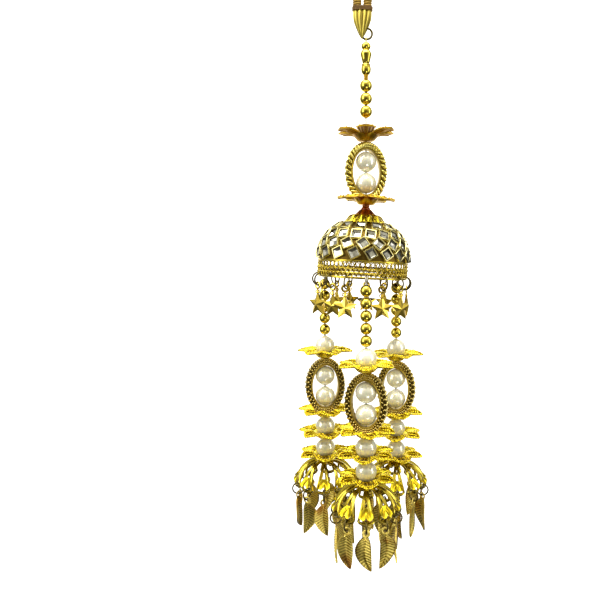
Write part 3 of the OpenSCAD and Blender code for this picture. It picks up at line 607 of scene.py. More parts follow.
def make_binding():
    """Four turns of yarn round both cord ends, and one thread drawn across between the legs."""
    yarn_r = 0.23
    yarn_out = 0.16
    first_turn, turn_pitch = 0.2, 0.4
    work = Work()
    for k in range(4):
        wrap = stadium(CORD_D / 2 + yarn_out, CORD_END_Z + first_turn + k * turn_pitch)
        work.add(tube(wrap, yarn_r, 8, loop=True))
    tie_up, tie_bow, tie_r = 0.7, 0.45, 0.3
    tie = [(sum(LEG_X) / 2, y, CORD_END_Z + tie_up + tie_bow * math.cos(y)) for y in (-1.9, -0.9, 0, 0.9, 1.9)]
    work.add(tube(tie, tie_r))
    finish_piece("cord_wraps", work, BINDING_YARN, "loop", ["cord_binding"])


def make_bundle():
    """Gold threads gathered from both cord ends to one tip, which the ring is caught in."""
    # share of the way down, and the half width and half depth there as shares of the greatest
    cuts = [(0, 0.97, 0.86), (0.15, 1, 0.98), (0.32, 0.96, 1), (0.5, 0.82, 0.94), (0.65, 0.66, 0.84),
            (0.8, 0.5, 0.7), (0.92, 0.31, 0.52), (1, 0.17, 0.36)]
    top_z = CORD_END_Z - FIT
    length = 10
    top_x, tip_x = sum(LEG_X) / 2, -1.6
    half_w, half_t = 3.7, 2.2
    threads = 20
    thread_r = 0.62
    core_inset = 0.6
    taper = 0.55
    thread_step = 0.6

    def at(cut, a, inset):
        share, wide, deep = cut
        x = top_x + (tip_x - top_x) * share
        return (x + math.cos(a) * (wide * half_w - inset), math.sin(a) * (deep * half_t - inset),
                top_z - share * length)

    lit, shaded = Work(), Work()
    shaded.add(skin([[at(cut, TURN * k / 24, core_inset) for k in range(24)] for cut in cuts[:-1]]))
    for k in range(threads):
        a = TURN * k / threads
        wander = 0.3 * noise(Vector((k * 1.7, 0, 0)))
        sunk = 0.3 * (k % 2)
        seats = [at(cut, a + wander * math.sin(3 * cut[0]), thread_r + sunk * (1 - cut[0])) for cut in cuts]
        path, _ = smooth_route(seats, thread_step)
        slim = [thread_r * (1 - taper * i / (len(path) - 1)) for i in range(len(path))]
        # every other thread, like the core, gets the shaded copy: painted shade between the lit threads
        (shaded if k % 2 else lit).add(tube(path, slim, 8))
    finish_piece("gathered_threads", lit, BUNDLE_YARN, "loop", ["thread_bundle"])
    finish_piece("threads_in_painted_shade", shaded, SHADED_YARN, "loop")


# Width, height and outline of the turned beads on the pin
PIN_BEADS = {
    "round_bead": (3.7, 2.8, [
        (-1, 0.5), (-0.85, 0.7), (-0.5, 0.93), (-0.15, 1), (0.15, 1), (0.5, 0.93), (0.85, 0.7), (1, 0.5)]),
    "tapered_bead": (4.5, 4.9, [
        (-1, 0.56), (-0.92, 0.62), (-0.35, 0.8), (0.28, 0.97), (0.42, 1), (0.55, 0.98), (0.62, 0.9), (0.9, 0.8),
        (1, 0.6)]),
    "barrel_bead": (3.9, 4.3, [
        (-1, 0.5), (-0.8, 0.76), (-0.4, 0.96), (0, 1), (0.3, 0.97), (0.62, 0.84), (0.7, 0.92), (0.86, 0.86),
        (1, 0.55)])}


def make_top_hardware():
    """The ring in the bundle's tip, the pin that swings on it, and what is strung on the pin."""
    hook_r, hook_wire_r = 2.05, 0.42
    work = Work().add(tube(circle(hook_r, 48), hook_wire_r, 12, loop=True), shift(*middle("hook_ring")) @ spin(90))
    finish_piece("top_jump_ring", work, WIRE_GILT, "loop", ["hook_ring"])
    pin = Work()
    eye_r = 0.9
    eye_z = high("head_pin")[2] - eye_r - PIN_D / 2
    pin.add(tube(circle(eye_r, 32), PIN_D / 2, 10, loop=True), shift(0, 0, eye_z))
    pin.add(tube([(0, 0, eye_z - 0.85), (0, 0, low("head_pin")[2])], PIN_D / 2, 10))
    finish_piece("pin_wire", pin, ROPE_GILT, "drop", ["head_pin"])
    for name, (d, h, outline) in PIN_BEADS.items():
        made = Work().add(turned_bead(d, h, outline), shift(*middle(name)))
        finish_piece(name + "_turned", made, BALL_GILT, "drop", [name])
    waisted = [(0.42, -0.75), (0.9, -0.75), (0.95, -0.6), (0.78, 0), (0.95, 0.6), (0.9, 0.75), (0.42, 0.75)]
    crimp = Work().add(lathe(waisted, 24), shift(*middle("crimp_tube")))
    finish_piece("crimped_tube", crimp, BROWN_SHADE_GILT, "drop", ["crimp_tube"])
    for i in (1, 2, 3):
        made = Work().add(drilled_ball(BALL_D), shift(*middle(f"chain_ball_{i}")))
        finish_piece(f"polished_ball_{i}", made, BALL_GILT, "drop", [f"chain_ball_{i}"])


# Flowers

def sheet_height(r):
    """Height of a flower's stamped sheet above its floor, along the radius: a cup, its wall and the petals."""
    cup_z, brim_z = 0.35, 2.05
    cup_r, brim_r = 3.1, 4.9
    if r < cup_r:
        return cup_z
    if r < brim_r:
        return cup_z + (brim_z - cup_z) * (r - cup_r) / (brim_r - cup_r)
    return brim_z + 0.7 * (r - brim_r) / 7.7


# Half width of a petal along the radius, narrow at the cup: a beaded petal ends in a point, a plain one is
# broad to its end
PETAL_ROOT_R = 2.8
PETAL_CUT = [(2.8, 1.6), (4, 2.2), (5, 2.8), (6.5, 3.5), (7.8, 3.85), (8.9, 3.4), (9.9, 2.4), (10.8, 1.2),
             (11.5, 0.2)]
BROAD_CUT = [(2.8, 2), (4, 2.5), (6, 3), (8, 3.5), (9.6, 3.7), (10.5, 3.4), (11.1, 2.6), (11.5, 1.4)]


def petal_half_width(r, plain):
    cut = BROAD_CUT if plain else PETAL_CUT
    for (r0, w0), (r1, w1) in zip(cut, cut[1:]):
        if r <= r1:
            return w0 + (w1 - w0) * (r - r0) / (r1 - r0)
    return cut[-1][1]


def petal_point(r, across, lift, rise):
    """A point of a petal, at a radius and at -1 to 1 across it, lifted off the middle of the sheet.

    A plain petal climbs by its rise towards the end, its sides droop and its edge is wavy. A beaded one has
    no rise.
    """
    plain = rise is not None
    dish, fold = 0.45, 0.85
    relief = (dish * across * across + fold * abs(across)) * math.sin(math.pi * min(r / FLOWER_R, 1))
    vein_h, veins = 0.2, 5.5
    relief += vein_h * math.cos(across * veins * math.pi) * min(1, (r - 3) / 3)
    wave = 1
    if plain:
        bend_r, droop = 3.6, 0.5
        relief += rise * max(0, (r - bend_r) / (FLOWER_R - bend_r))
        relief -= droop * across * across * min(1, max(0, r - 4))
        wave += 0.06 * math.sin(r * 4.2)
    return Vector((r, across * wave * petal_half_width(r, plain), sheet_height(r) + relief + lift))


def beaded(path, grain_pitch, thin, thick):
    """A wire of small grains soldered in a row along a path, smaller towards the tip of a petal."""
    tip_share, shrink = 0.7, 0.6
    path, length = smooth_route(path, grain_pitch / 4)
    step = length / (len(path) - 1)
    radii = []
    for i, p in enumerate(path):
        towards_tip = max(0, math.hypot(p[0], p[1]) / FLOWER_R - tip_share) / (1 - tip_share)
        grain = thick * abs(math.sin(math.pi * i * step / grain_pitch))
        radii.append(thin + grain * (1 - shrink * towards_tip))
    return tube(path, radii, 6)


def petal_outline(share, start, end, lift, rise):
    """Path round a petal at a share of its half width, from the cup out to a point and back."""
    radii = [start + (end - start) * k / 10 for k in range(11)]
    halves = [[petal_point(r, side * share, lift, rise) for r in radii] for side in (-1, 1)]
    return halves[0] + halves[1][::-1]


def petal(work, place, rise):
    """A sheet with a beaded edge, a second line of beads inside it, a midrib and ten grains."""
    reach = FLOWER_R - PETAL_ROOT_R - 0.15
    half_t = 0.2
    on_sheet = 0.3

    def face(lift):
        return lambda u, v: petal_point(PETAL_ROOT_R + reach * u, 2 * v - 1, lift, rise)

    work.add(plate(16, 16, face(half_t), face(-half_t)), place)
    edge_grain = 0.4 if rise is None else 0.14
    edge = petal_outline(share=0.97, start=4.4, end=FLOWER_R - 0.35, lift=0.1, rise=rise)
    work.add(beaded(edge, grain_pitch=1.05, thin=0.14, thick=edge_grain), place)
    inner_line = petal_outline(share=0.5, start=5, end=FLOWER_R - 2.2, lift=on_sheet, rise=rise)
    work.add(beaded(inner_line, grain_pitch=0.8, thin=0.12, thick=0.24), place)
    rib = [petal_point(4 + (reach - 2.6) * k / 8, 0, on_sheet, rise) for k in range(9)]
    work.add(tube(rib, 0.2, 5), place)
    grain_r, grain_pitch = 0.3, 1.05
    for k in range(5):
        for side in (-0.74, 0.74):
            seat = Matrix.Translation(petal_point(5.8 + grain_pitch * k, side, 0.28, rise))
            work.add(lump(6, 4), place @ seat @ Matrix.Scale(grain_r, 4))


def flower(azimuth, rise):
    """Six petals round a bowl that is scalloped in step with them."""
    work = Work()
    for i in range(PETALS):
        petal(work, spin(azimuth - 90 + i * 360 / PETALS), rise)
    bowl = [(0.5, 0.9), (2.4, 0.9), (3, 1.05), (4.2, 2.3), (4.9, 2.75), (5.1, 2.6), (4.7, 1.9), (3.4, 0.35),
            (2.9, 0.05), (0.5, 0)]
    depth, floor_r, wall = 0.035, 2.6, 2.4

    def scallop(a, r, z):
        turn = PETALS * a - math.radians(azimuth) * PETALS
        return r * (1 + depth * max(0, r - floor_r) / wall * math.cos(turn)), z

    work.add(lathe(bowl, 72, scallop))
    return work


def make_flower(name, node, azimuth, place, finish, rise=None):
    finish_piece(name, flower(azimuth, rise).placed(place), finish, "drop", [node])


# Oval frames

def oval_at(share):
    """Point and outward direction on the frame's middle line, by share of its way round."""
    w, h = FRAME_MID
    # even shares of the angle would crowd the ends of the oval
    a = TURN * share + 0.19 * math.sin(2 * TURN * share)
    out = Vector((h * math.cos(a), 0, w * math.sin(a))).normalized()
    return Vector((w * math.cos(a), 0, h * math.sin(a))), out


def oval_turn(out):
    """Turn that points X outward and Z to the ornament's back."""
    back = Vector((0, 1, 0))
    return Matrix((out, back.cross(out), back)).transposed().to_4x4()


def frame_band(section, steps=96):
    """A ring round the oval with one section of (outward, forward) points."""
    rings = []
    for i in range(steps):
        centre, out = oval_at(i / steps)
        rings.append([centre + out * p + Vector((0, -q, 0)) for p, q in section])
    return skin(rings, loop=True)


def make_frame(name, node, yaw, centre, plait_pitch, rows, grain, core_gilt, plait_gilt):
    """An oval of plaited wire on both faces and round the edge, over a plain band that lines the opening.

    rows holds each row's place across the face and the slant of its strands, and grain their half size.
    """
    place = shift(*centre) @ spin(yaw)
    bar = [(-1.1, -1.05), (0.85, -1.05), (1.15, -0.7), (1.15, 0.7), (0.85, 1.05), (-1.1, 1.05)]
    # The core shows only between the plait's strands, and its darker finish is painted shade there
    finish_piece(name + "_core", Work().add(frame_band(bar), place), core_gilt, "drop")
    plait = Work()
    count = round(OVAL_LENGTH / plait_pitch)
    knob = lump()
    face_y, edge_r = 1.2, 1.15
    for face in (-1, 1):
        for k in range(count):
            for row, lean in rows:
                at, out = oval_at((k + (0.5 if row < 0 else 0)) / count)
                seat = at + out * row + Vector((0, face * face_y, 0))
                strand = shift(*seat) @ oval_turn(out) @ spin(90 + lean * face) @ Matrix.Diagonal((*grain, 1))
                plait.add(knob, place @ strand)
    for k in range(count):
        at, out = oval_at((k + 0.25) / count)
        strand = shift(*(at + out * edge_r)) @ oval_turn(out) @ spin(30, "X") @ Matrix.Diagonal((*EDGE_GRAIN, 1))
        plait.add(knob, place @ strand)
    finish_piece(name + "_plait", plait, plait_gilt, "drop", [node])
    strip = [(-1.6, -1.85), (-1.25, -1.95), (-0.95, -1.6), (-1.1, -1), (-1.1, 1), (-0.95, 1.6), (-1.25, 1.95),
             (-1.6, 1.85)]
    finish_piece(name + "_lining", Work().add(frame_band(strip), place), LINING_GILT, "drop")


# Dome, crown, stones and band

def on_dome(azimuth, arc, turn):
    """Seat of a stone: Z points out of the dome."""
    a = math.radians(arc)
    return (shift(0, 0, DOME_BASE_Z) @ spin(azimuth - 90)
            @ shift(DOME_ARC_X + DOME_ARC_R * math.cos(a), 0, DOME_ARC_R * math.sin(a))
            @ spin(90 - arc, "Y") @ spin(turn + 90))


def every_seat():
    """Seats of all the stones, turned evenly from left to right along each row."""
    for arc, count, first, left, right in STONE_ROWS:
        for i in range(count):
            azimuth = first + i * 360 / count
            yield on_dome(azimuth, arc, left + (right - left) * (0.5 + 0.5 * math.sin(math.radians(azimuth))))


def rounded_square(half, z, corner=0.22):
    """Path round a square with small round corners."""
    path = []
    for quarter in range(4):
        for part in (0, 0.5, 1):
            a = math.radians(90 * quarter + 90 * part)
            cx = (half - corner) * (1 if quarter in (0, 3) else -1)
            cy = (half - corner) * (1 if quarter in (0, 1) else -1)
            path.append((cx + corner * math.cos(a), cy + corner * math.sin(a), z))
    return path


def bezel():
    """Folded strip round a stone: a rubbed-over rim."""
    half = BEZEL_SIDE / 2
    cut = [(half + 0.05, -0.4), (half + 0.02, 0.1), (half - 0.06, BEZEL_PROUD - 0.1), (half - 0.14, BEZEL_PROUD),
           (half - 0.38, BEZEL_PROUD), (half - 0.46, BEZEL_PROUD - 0.1), (half - 0.44, -0.3)]
    return skin([rounded_square(h, z) for h, z in cut], loop=True)


def bezel_wall():
    """Inside wall of a bezel."""
    half = BEZEL_SIDE / 2
    top = BEZEL_PROUD - 0.14
    cut = [(half - 0.45, -0.25), (half - 0.45, top), (half - 0.53, top), (half - 0.53, -0.25)]
    return skin([rounded_square(h, z) for h, z in cut], loop=True)


def cut_stone():
    """Square stone hollowed towards its lower right, so its upper left slope stays dark and its table pale."""
    # half side, height, and how far off centre
    cuts = [(1.2, -0.2, 0), (1.62, 0.1, 0), (1.62, 0.66, 0), (1.56, 0.66, 0), (1.0, 0.1, 0.34), (0.5, 0.08, 0.34)]
    corners = [(1, -1), (1, 1), (-1, 1), (-1, -1)]
    return skin([[(x * half + off, y * half - off, z) for x, y in corners] for half, z, off in cuts])


def make_dome():
    """The shell, and a stone in its bezel on every seat, each a little askew as if set by hand."""
    arc_end, parts = 68, 24
    arcs = [math.radians(k * arc_end / parts) for k in range(parts + 1)]
    outer, inner = [[(DOME_ARC_X + r * math.cos(a), r * math.sin(a)) for a in arcs]
                    for r in (DOME_ARC_R, DOME_ARC_R - DOME_SHELL_T)]
    shell = outer + [(BORE_D / 2, DOME_H), (BORE_D / 2, DOME_H - DOME_SHELL_T)] + inner[::-1]
    base = LEAN @ shift(0, 0, DOME_BASE_Z)
    finish_piece("dome_shell", Work().add(lathe(shell, 128), base), DOME_GILT, "drop", ["dome"])
    bezels, walls, stones = Work(), Work(), Work()
    rim, wall, cut = bezel(), bezel_wall(), cut_stone()
    askew, nod = 7, -5
    for i, seat in enumerate(every_seat()):
        bezels.add(rim, LEAN @ seat)
        walls.add(wall, LEAN @ seat)
        tilt = (spin(askew * noise(Vector((i * 3.1, 0.5, 0))) + nod, "X")
                @ spin(askew * noise(Vector((0.5, i * 2.3, 0))), "Y"))
        stones.add(cut, LEAN @ seat @ tilt)
    # The inside walls are dark gilt: painted shade within each bezel
    finish_piece("bezel_walls", walls, HOLLOW_SHADE_GILT, "drop")
    finish_piece("bezels", bezels, BEZEL_GILT, "drop")
    finish_piece("cut_stones", stones, STONE, "drop", ["dome_stones"], sharp=5)


def make_band():
    """Filigree gallery: plain border, a row of small rings, two rows of zigzag wire and a plain rail."""
    work = Work()
    border = [(17.2, -0.7), (17.9, -0.7), (17.98, -0.4), (17.85, 0), (17.2, 0)]
    work.add(lathe(border, 128))
    cells, cell_z = 54, -1.95
    half_w, half_h = 0.92, 1.12
    lace = tube([(0, half_w * math.cos(TURN * k / 18), half_h * math.sin(TURN * k / 18)) for k in range(18)],
                0.2, 6, loop=True)
    wire_r, on_band = 0.32, 0.1
    grain = lump(6, 4)
    for k in range(cells):
        azimuth = k * 360 / cells
        work.add(lace, shift(*round_at(BAND_R - 0.05, azimuth, cell_z)) @ spin(azimuth - 90))
        for z, size in ((cell_z, 0.34), (-0.8, 0.26), (-3.15, 0.34)):
            spot = round_at(BAND_R + 0.12, azimuth + 180 / cells, z)
            work.add(grain, shift(*spot) @ Matrix.Scale(size, 4))
    bends = 120
    bend = 360 / bends
    for z in (-3.2, -4.75):
        work.add(tube([round_at(BAND_R - on_band, k * bend, z) for k in range(bends)], wire_r, 6, loop=True))
    # both zigzags start at the front strand, so all the hanging places face gaps of one kind
    for top, bottom, phase in ((-3.3, -4.7, 1), (-4.75, -6.15, 0)):
        zigzag = []
        for k in range(bends):
            azimuth = STRAND_AZIMUTH["front"] + k * bend
            zigzag.append(round_at(BAND_R - on_band, azimuth, top if (k + phase) % 2 else bottom))
            if (k + phase) % 2 == 0:
                spot = round_at(BAND_R + on_band, azimuth, top - 0.25)
                work.add(grain, shift(*spot) @ Matrix.Scale(0.38, 4))
        work.add(tube(zigzag, wire_r, 6, loop=True))
    rail = [(17.15, -7), (17.85, -7), (18.05, -6.85), (18.05, -6.35), (17.85, -6.15), (17.15, -6.15)]
    work.add(lathe(rail, 128))
    finish_piece("filigree_band", work.placed(LEAN @ shift(0, 0, DOME_BASE_Z)), BAND_GILT, "drop")


def make_crown():
    """Red-brown cone over a skirt of embossed leaves, under a red-brown spool."""
    base = LEAN @ shift(0, 0, CROWN_TOP_Z - CROWN_H)
    cone = [(0.5, 5.6), (2.1, 5.6), (2.5, 5.3), (3.15, 4.6), (4.1, 3.75), (5, 3), (4.8, 2.4), (2.8, 4.2),
            (1.8, 4.9), (0.5, 4.9)]
    finish_piece("crown_cone", Work().add(lathe(cone, 64), base), RED_GILT, "drop", ["crown_cap"])
    skirt = [(3.9, 3.7), (4.7, 3.15), (5.5, 2.6), (6.3, 2.05), (7.1, 1.45), (7.8, 0.85), (8.4, 0.2), (8.1, 0),
             (7.1, 0.4), (5.6, 1.5), (3.8, 3)]

    def leaves(a, r, z):
        share = (r - 4.3) / 4
        fold = abs(math.sin(6 * a))
        twin = abs(math.sin(12 * a + 2.4 * share))
        lift = 0.75 * fold * math.sin(math.pi * min(max(share + 0.15, 0), 1)) + 0.4 * twin * min(share * 2, 1)
        return r - 0.1 * share + 0.35 * lift, z + 0.8 * lift - 0.05

    embossed = Work().add(lathe(skirt, 144, leaves), base)
    finish_piece("crown_leaves", embossed, FLOWER_GILT, "drop", sharp=22)
    neck = [(0.5, 0), (1.8, 0), (1.9, 0.25), (1.35, 0.75), (1.5, 1.35), (1.4, 1.5), (0.5, 1.5)]
    spool = Work().add(lathe(neck, 40), LEAN @ shift(0, 0, DOME_FLOWER_Z - FIT - NECK_H))
    finish_piece("neck_spool", spool, RED_GILT, "drop", ["neck_bead"])


# Stars on their rings

def ring_centre_z(outer_d):
    """Height of a hanging ring's centre over the top of the rail that it hangs on."""
    return RING_PLAY - (outer_d / 2 - RING_WIRE_D)


def eyelet():
    """Cast loop of a charm, hole towards Y, with thicker wire than in the solids."""
    half_wire = (EYELET_D - EYELET_HOLE_D) / 4 + 0.2
    mean_r = EYELET_HOLE_D / 2 + half_wire
    rings = []
    for k in range(24):
        a = TURN * k / 24
        out = Vector((math.cos(a), 0, math.sin(a)))
        rings.append([out * (mean_r + half_wire * math.cos(b)) + Vector((0, EYELET_T / 2 * math.sin(b), 0))
                      for b in [TURN * n / 8 for n in range(8)]])
    return skin(rings, loop=True)


def star_shape():
    """Cast five-pointed star, ridged from each tip to the middle, on a short neck under its loop."""
    inner_r = STAR_R * 0.46
    edge, peak = 0.26, 1.15
    rim = []
    for i in range(10):
        a = math.radians(90 + 36 * i)
        r = inner_r if i % 2 else STAR_R
        rim.append((r * math.cos(a), r * math.sin(a)))
    points = [(x, y, z) for y in (-edge, edge) for x, z in rim] + [(0, -peak, 0), (0, peak, 0)]
    faces = []
    for i in range(10):
        j = (i + 1) % 10
        faces += [[20, j, i], [21, 10 + i, 10 + j], [i, j, 10 + j], [i, 10 + j, 10 + i]]
    body = Work().add((points, faces), shift(0, 0, -EYELET_D / 2 - 1.2 - STAR_R))
    neck = [(0.62, -0.85), (0.36, -1.15), (0.3, -1.5), (0.42, -1.9), (0.55, -2.6), (0.4, -3.4)]
    body.add(tube([(0, 0, z - 0.25) for _, z in neck], [r for r, _ in neck], 10))
    scroll_x, scroll_z, scroll_r = 0.62, -2.35, 0.5
    for side in (-1, 1):
        scroll = [(side * (scroll_x + scroll_r * math.cos(TURN * k / 14)), 0,
                   scroll_z + scroll_r * math.sin(TURN * k / 14)) for k in range(14)]
        body.add(tube(scroll, 0.2, 6, loop=True))
    body.add(eyelet())
    return body.points, body.faces


def make_stars():
    """Each star hangs plumb from its ring, on the low point of the ring's wire."""
    mean_r = (STAR_RING_D - RING_WIRE_D) / 2
    level = math.sqrt(mean_r ** 2 - STAR_STAGGER ** 2)
    centre_z = RAIL_TOP_Z + ring_centre_z(STAR_RING_D)
    rings, stars = Work(), Work()
    loop = tube(circle(mean_r, 40), RING_WIRE_D / 2 + RING_PLATING, 10, loop=True)
    shape = star_shape()
    # a star near the silhouette turns its face to the viewer, and neighbours differ a little
    face_viewer, differ = 24, 4
    for i in STAR_SLOTS:
        azimuth = STRAND_AZIMUTH["front"] + i * 360 / HANG_COUNT
        to_right = math.sin(math.radians(azimuth))
        side = 1 if i % 2 == 0 else -1
        rings.add(loop, LEAN @ shift(*round_at(RAIL_MID_R, azimuth, centre_z)) @ spin(azimuth))
        slope = STAR_STAGGER / level - side * to_right * math.tan(math.radians(DOME_LEAN))
        wire = LEAN @ round_at(RAIL_MID_R + side * STAR_STAGGER, azimuth, centre_z - level)
        drop = EYELET_HOLE_D / 2 - RING_PLAY
        drop -= math.sqrt(1 + slope ** 2) * RING_WIRE_D / 2 + slope * EYELET_T / 2
        stars.add(shape, shift(wire[0], wire[1], wire[2] - drop) @ spin(azimuth)
                  @ spin(side * differ - face_viewer * to_right))
    finish_piece("star_jump_rings", rings, WIRE_GILT, "drop", ["star_rings"])
    finish_piece("cast_stars", stars, STAR_GILT, "drop", ["stars"], sharp=20)


# Strands

def make_thread(name):
    """Doubled nylon: two lines round the band's rail, then one down through the beads to a knot."""
    x, y = strand_axis(name)
    top = high(f"{name}_thread")[2]
    bottom = low(f"{name}_thread")[2]
    ball_top = high(f"{name}_balls")[2]
    work = Work()
    loop_r, line_r = 1.22, 0.2
    for offset in (-0.28, 0.28):
        loop = []
        for k in range(24):
            a = TURN * k / 24
            loop.append((offset * (1 + 0.4 * math.sin(a)), loop_r * math.cos(a), top - 1.5 + loop_r * math.sin(a)))
        work.add(tube(loop, line_r, 8, loop=True), shift(x, y, 0) @ spin(STRAND_AZIMUTH[name]))
    work.add(tube([(x, y, top - 2.6), (x, y, ball_top - 0.5), (x, y, bottom + 1)], THREAD_D / 2, 8))
    work.add(lump(12, 8), shift(x, y, bottom + KNOT_R) @ Matrix.Scale(KNOT_R, 4))
    finish_piece(f"{name}_nylon", work, NYLON, "drop", [f"{name}_thread"])


def make_beads(name):
    """A strand's metal balls, close under the band, and the pearls on its flowers and in its frame."""
    x, y = strand_axis(name)
    top = high(f"{name}_balls")[2] - STRAND_BALL_D / 2
    work = Work()
    for i in range(STRAND_BALLS):
        work.add(drilled_ball(STRAND_BALL_D), shift(x, y, top - i * (STRAND_BALL_D + FIT)))
    finish_piece(f"{name}_polished_balls", work, BALL_GILT, "drop", [f"{name}_balls"])
    pearls = Work()
    for z in pearl_heights(name):
        pearls.add(drilled_ball(PEARL_D, sides=48), shift(x, y, z))
    finish_piece(f"{name}_dipped_pearls", pearls, PEARL, "drop", [f"{name}_pearls"])


def bell_at(share, azimuth, out=0):
    """Point on a cage's bell: share 0 at the edge of its flat top, 1 at the rim."""
    t = math.radians(90 * (1 - share))
    arc_r = CAGE_ARC_R + out - 0.3
    return round_at(CAGE_TOP_R + arc_r * math.cos(t), azimuth, -CAGE_ARC_R + arc_r * math.sin(t))


def cage_wires():
    """Bell of petals bent from bold wire, which run side by side above and part towards the rim."""
    cap = [(0.5, 0), (1.8, 0), (3.2, -0.1), (4.1, -0.45), (4, -0.8), (3, -0.7), (1.8, -0.6), (0.5, -0.6)]
    work = Work().add(lathe(cap, 40))
    top_angle, foot_angle = 4, 13.6
    bold_r, slim_r = 0.5, 0.34
    for i in range(CAGE_PETALS):
        azimuth = i * 360 / CAGE_PETALS
        shares = [0.05 + 0.95 * k / 10 for k in range(11)]
        half = [(share, top_angle + (foot_angle - top_angle) * share ** 1.6) for share in shares]
        one, other = [[bell_at(share, azimuth + side * a) for share, a in half] for side in (-1, 1)]
        foot = []
        for k in range(1, 8):
            a = math.pi * k / 8
            foot.append(round_at(CAGE_R - 0.35, azimuth - foot_angle * math.cos(a),
                                 -CAGE_ARC_R - (CAGE_SKIRT - 0.1) * math.sin(a)))
        work.add(tube(one + foot + other[::-1], bold_r, 8))
        for side in (-1, 1):
            inner = [bell_at(0.05 + 0.8 * k / 9, azimuth + side * (1.5 + 4.6 * (k / 9) ** 1.4), 0.1)
                     for k in range(10)]
            work.add(tube(inner, slim_r, 6))
    return work


def cage_tabs():
    """Dished tabs that flare out over the rim, each notched in the middle for a ring."""
    work = Work()
    start, end, notch = 0.66, 0.87, 0.06
    flare, dish, thick = 1.2, 0.3, 0.35
    half_angle = 11
    for i in range(CAGE_PETALS):
        azimuth = i * 360 / CAGE_PETALS

        def tab(lift):
            def point(u, v):
                share = start + (end + notch * abs(math.sin(TURN * v)) - start) * u
                out = lift + flare * u * u - dish * math.sin(math.pi * v) * math.sin(math.pi * u)
                wide = half_angle * (0.35 + 0.65 * math.sin(math.pi / 2 * min(1, u * 1.3)))
                return bell_at(share, azimuth + wide * (2 * v - 1), out)
            return point

        work.add(plate(10, 14, tab(thick), tab(0)))
    return work


def cage_cups():
    """Rounded cups below the tabs, which the rings hang from."""
    work = Work()
    half_angle, deep, thick = 14.5, 1.8, 0.3

    def bottom(side):
        return -CAGE_ARC_R + 0.4 - deep * math.sqrt(max(0, 1 - side * side))

    for i in range(CAGE_PETALS):
        azimuth = i * 360 / CAGE_PETALS

        def cup(lift):
            def point(u, v):
                side = 2 * v - 1
                top = -CAGE_ARC_R - 0.25 + 0.75 * side * side
                bulge = 0.8 * math.sin(math.pi * u) * (1 - side * side)
                return round_at(CAGE_R - 0.3 + lift + bulge - 0.5 * u * u, azimuth + half_angle * side,
                                top + (bottom(side) - top) * u)
            return point

        work.add(plate(6, 12, cup(thick), cup(0)))
        sides = [-math.cos(math.pi * k / 12) for k in range(13)]
        edge = [round_at(CAGE_R - 0.35, azimuth + half_angle * side, bottom(side)) for side in sides]
        work.add(tube(edge, 0.3, 6))
    return work


def make_cage(name):
    x, y = strand_axis(name)
    place = shift(x, y, high(f"{name}_cage")[2])
    parts = [("wires", cage_wires(), CAGE_GILT, [f"{name}_cage"]), ("tabs", cage_tabs(), TAB_GILT, []),
             ("cups", cage_cups(), CUP_GILT, [])]
    for part, made, finish, nodes in parts:
        finish_piece(f"{name}_cage_{part}", made.placed(place), finish, "drop", nodes)


def leaf_shape(bend):
    """Stamped leaf with a curved tip, herringbone veins beside a midrib, and a toothed edge.

    Its loop is at the origin. The midrib is raised on the front alone.
    """
    top_z = -EYELET_D / 2 + 0.35
    half_t, dish_r = 0.18, 7
    teeth, tooth = 20, 0.05
    veins, vein_slant, vein_h = 13, 1.7, 0.13
    rib_h, rib_w = 0.24, 0.11

    def point(lift):
        def at(u, v):
            across = 2 * v - 1
            wide = LEAF_W / 2 * math.sin(math.pi * min(u ** 0.8 * 0.995 + 0.01, 1)) ** 0.72
            wide *= 1 + tooth * math.sin(TURN * teeth * u)
            side = 1.14 if across * bend < 0 else 0.86
            x = across * wide * side + bend * (u ** 2.6 - 0.45 * math.sin(math.pi * u))
            relief = vein_h * math.sin(TURN * (veins * u - vein_slant * abs(across))) * (1 - abs(across) ** 6)
            relief += 0.12 * abs(across) ** 8
            y = x * x / (2 * dish_r) - 0.25 * math.sin(math.pi * u) * bend - lift
            if lift > 0:
                y -= relief + rib_h * math.exp(-(across / rib_w) ** 2)
            else:
                y += relief
            return Vector((x, y, top_z - LEAF_L * u))
        return at

    work = Work().add(plate(72, 14, point(half_t), point(-half_t)))
    work.add(eyelet())
    return work.points, work.faces


def make_leaves(name):
    """Ten leaves on their rings, of five shapes, each turned its own way."""
    x, y = strand_axis(name)
    rim_z = high(f"{name}_cage")[2] - CAGE_ARC_R - CAGE_SKIRT + CAGE_RAIL
    mean_r = (LEAF_RING_D - RING_WIRE_D) / 2
    drop = EYELET_HOLE_D / 2 - RING_PLAY - RING_WIRE_D / 2
    rings, leaves = Work(), Work()
    loop = tube(circle(mean_r, 36), RING_WIRE_D / 2 + RING_PLATING, 10, loop=True)
    shapes = [leaf_shape(bend) for bend in (2, -1.6, 1.2, -2.1, 1.7)]
    for i, turn in enumerate(LEAF_TURNS[name]):
        azimuth = i * 360 / CAGE_PETALS
        place = shift(x, y, rim_z) @ spin(azimuth) @ shift(0, -CAGE_RAIL_R, ring_centre_z(LEAF_RING_D))
        rings.add(loop, place @ spin(turn / 3))
        leaves.add(shapes[(i * 3 + len(name)) % len(shapes)], place @ shift(0, 0, -mean_r - drop) @ spin(turn))
    finish_piece(f"{name}_leaf_jump_rings", rings, WIRE_GILT, "drop", [f"{name}_leaf_rings"])
    finish_piece(f"{name}_stamped_leaves", leaves, LEAF_GILT, "drop", [f"{name}_leaves"],
                 sharp=50)


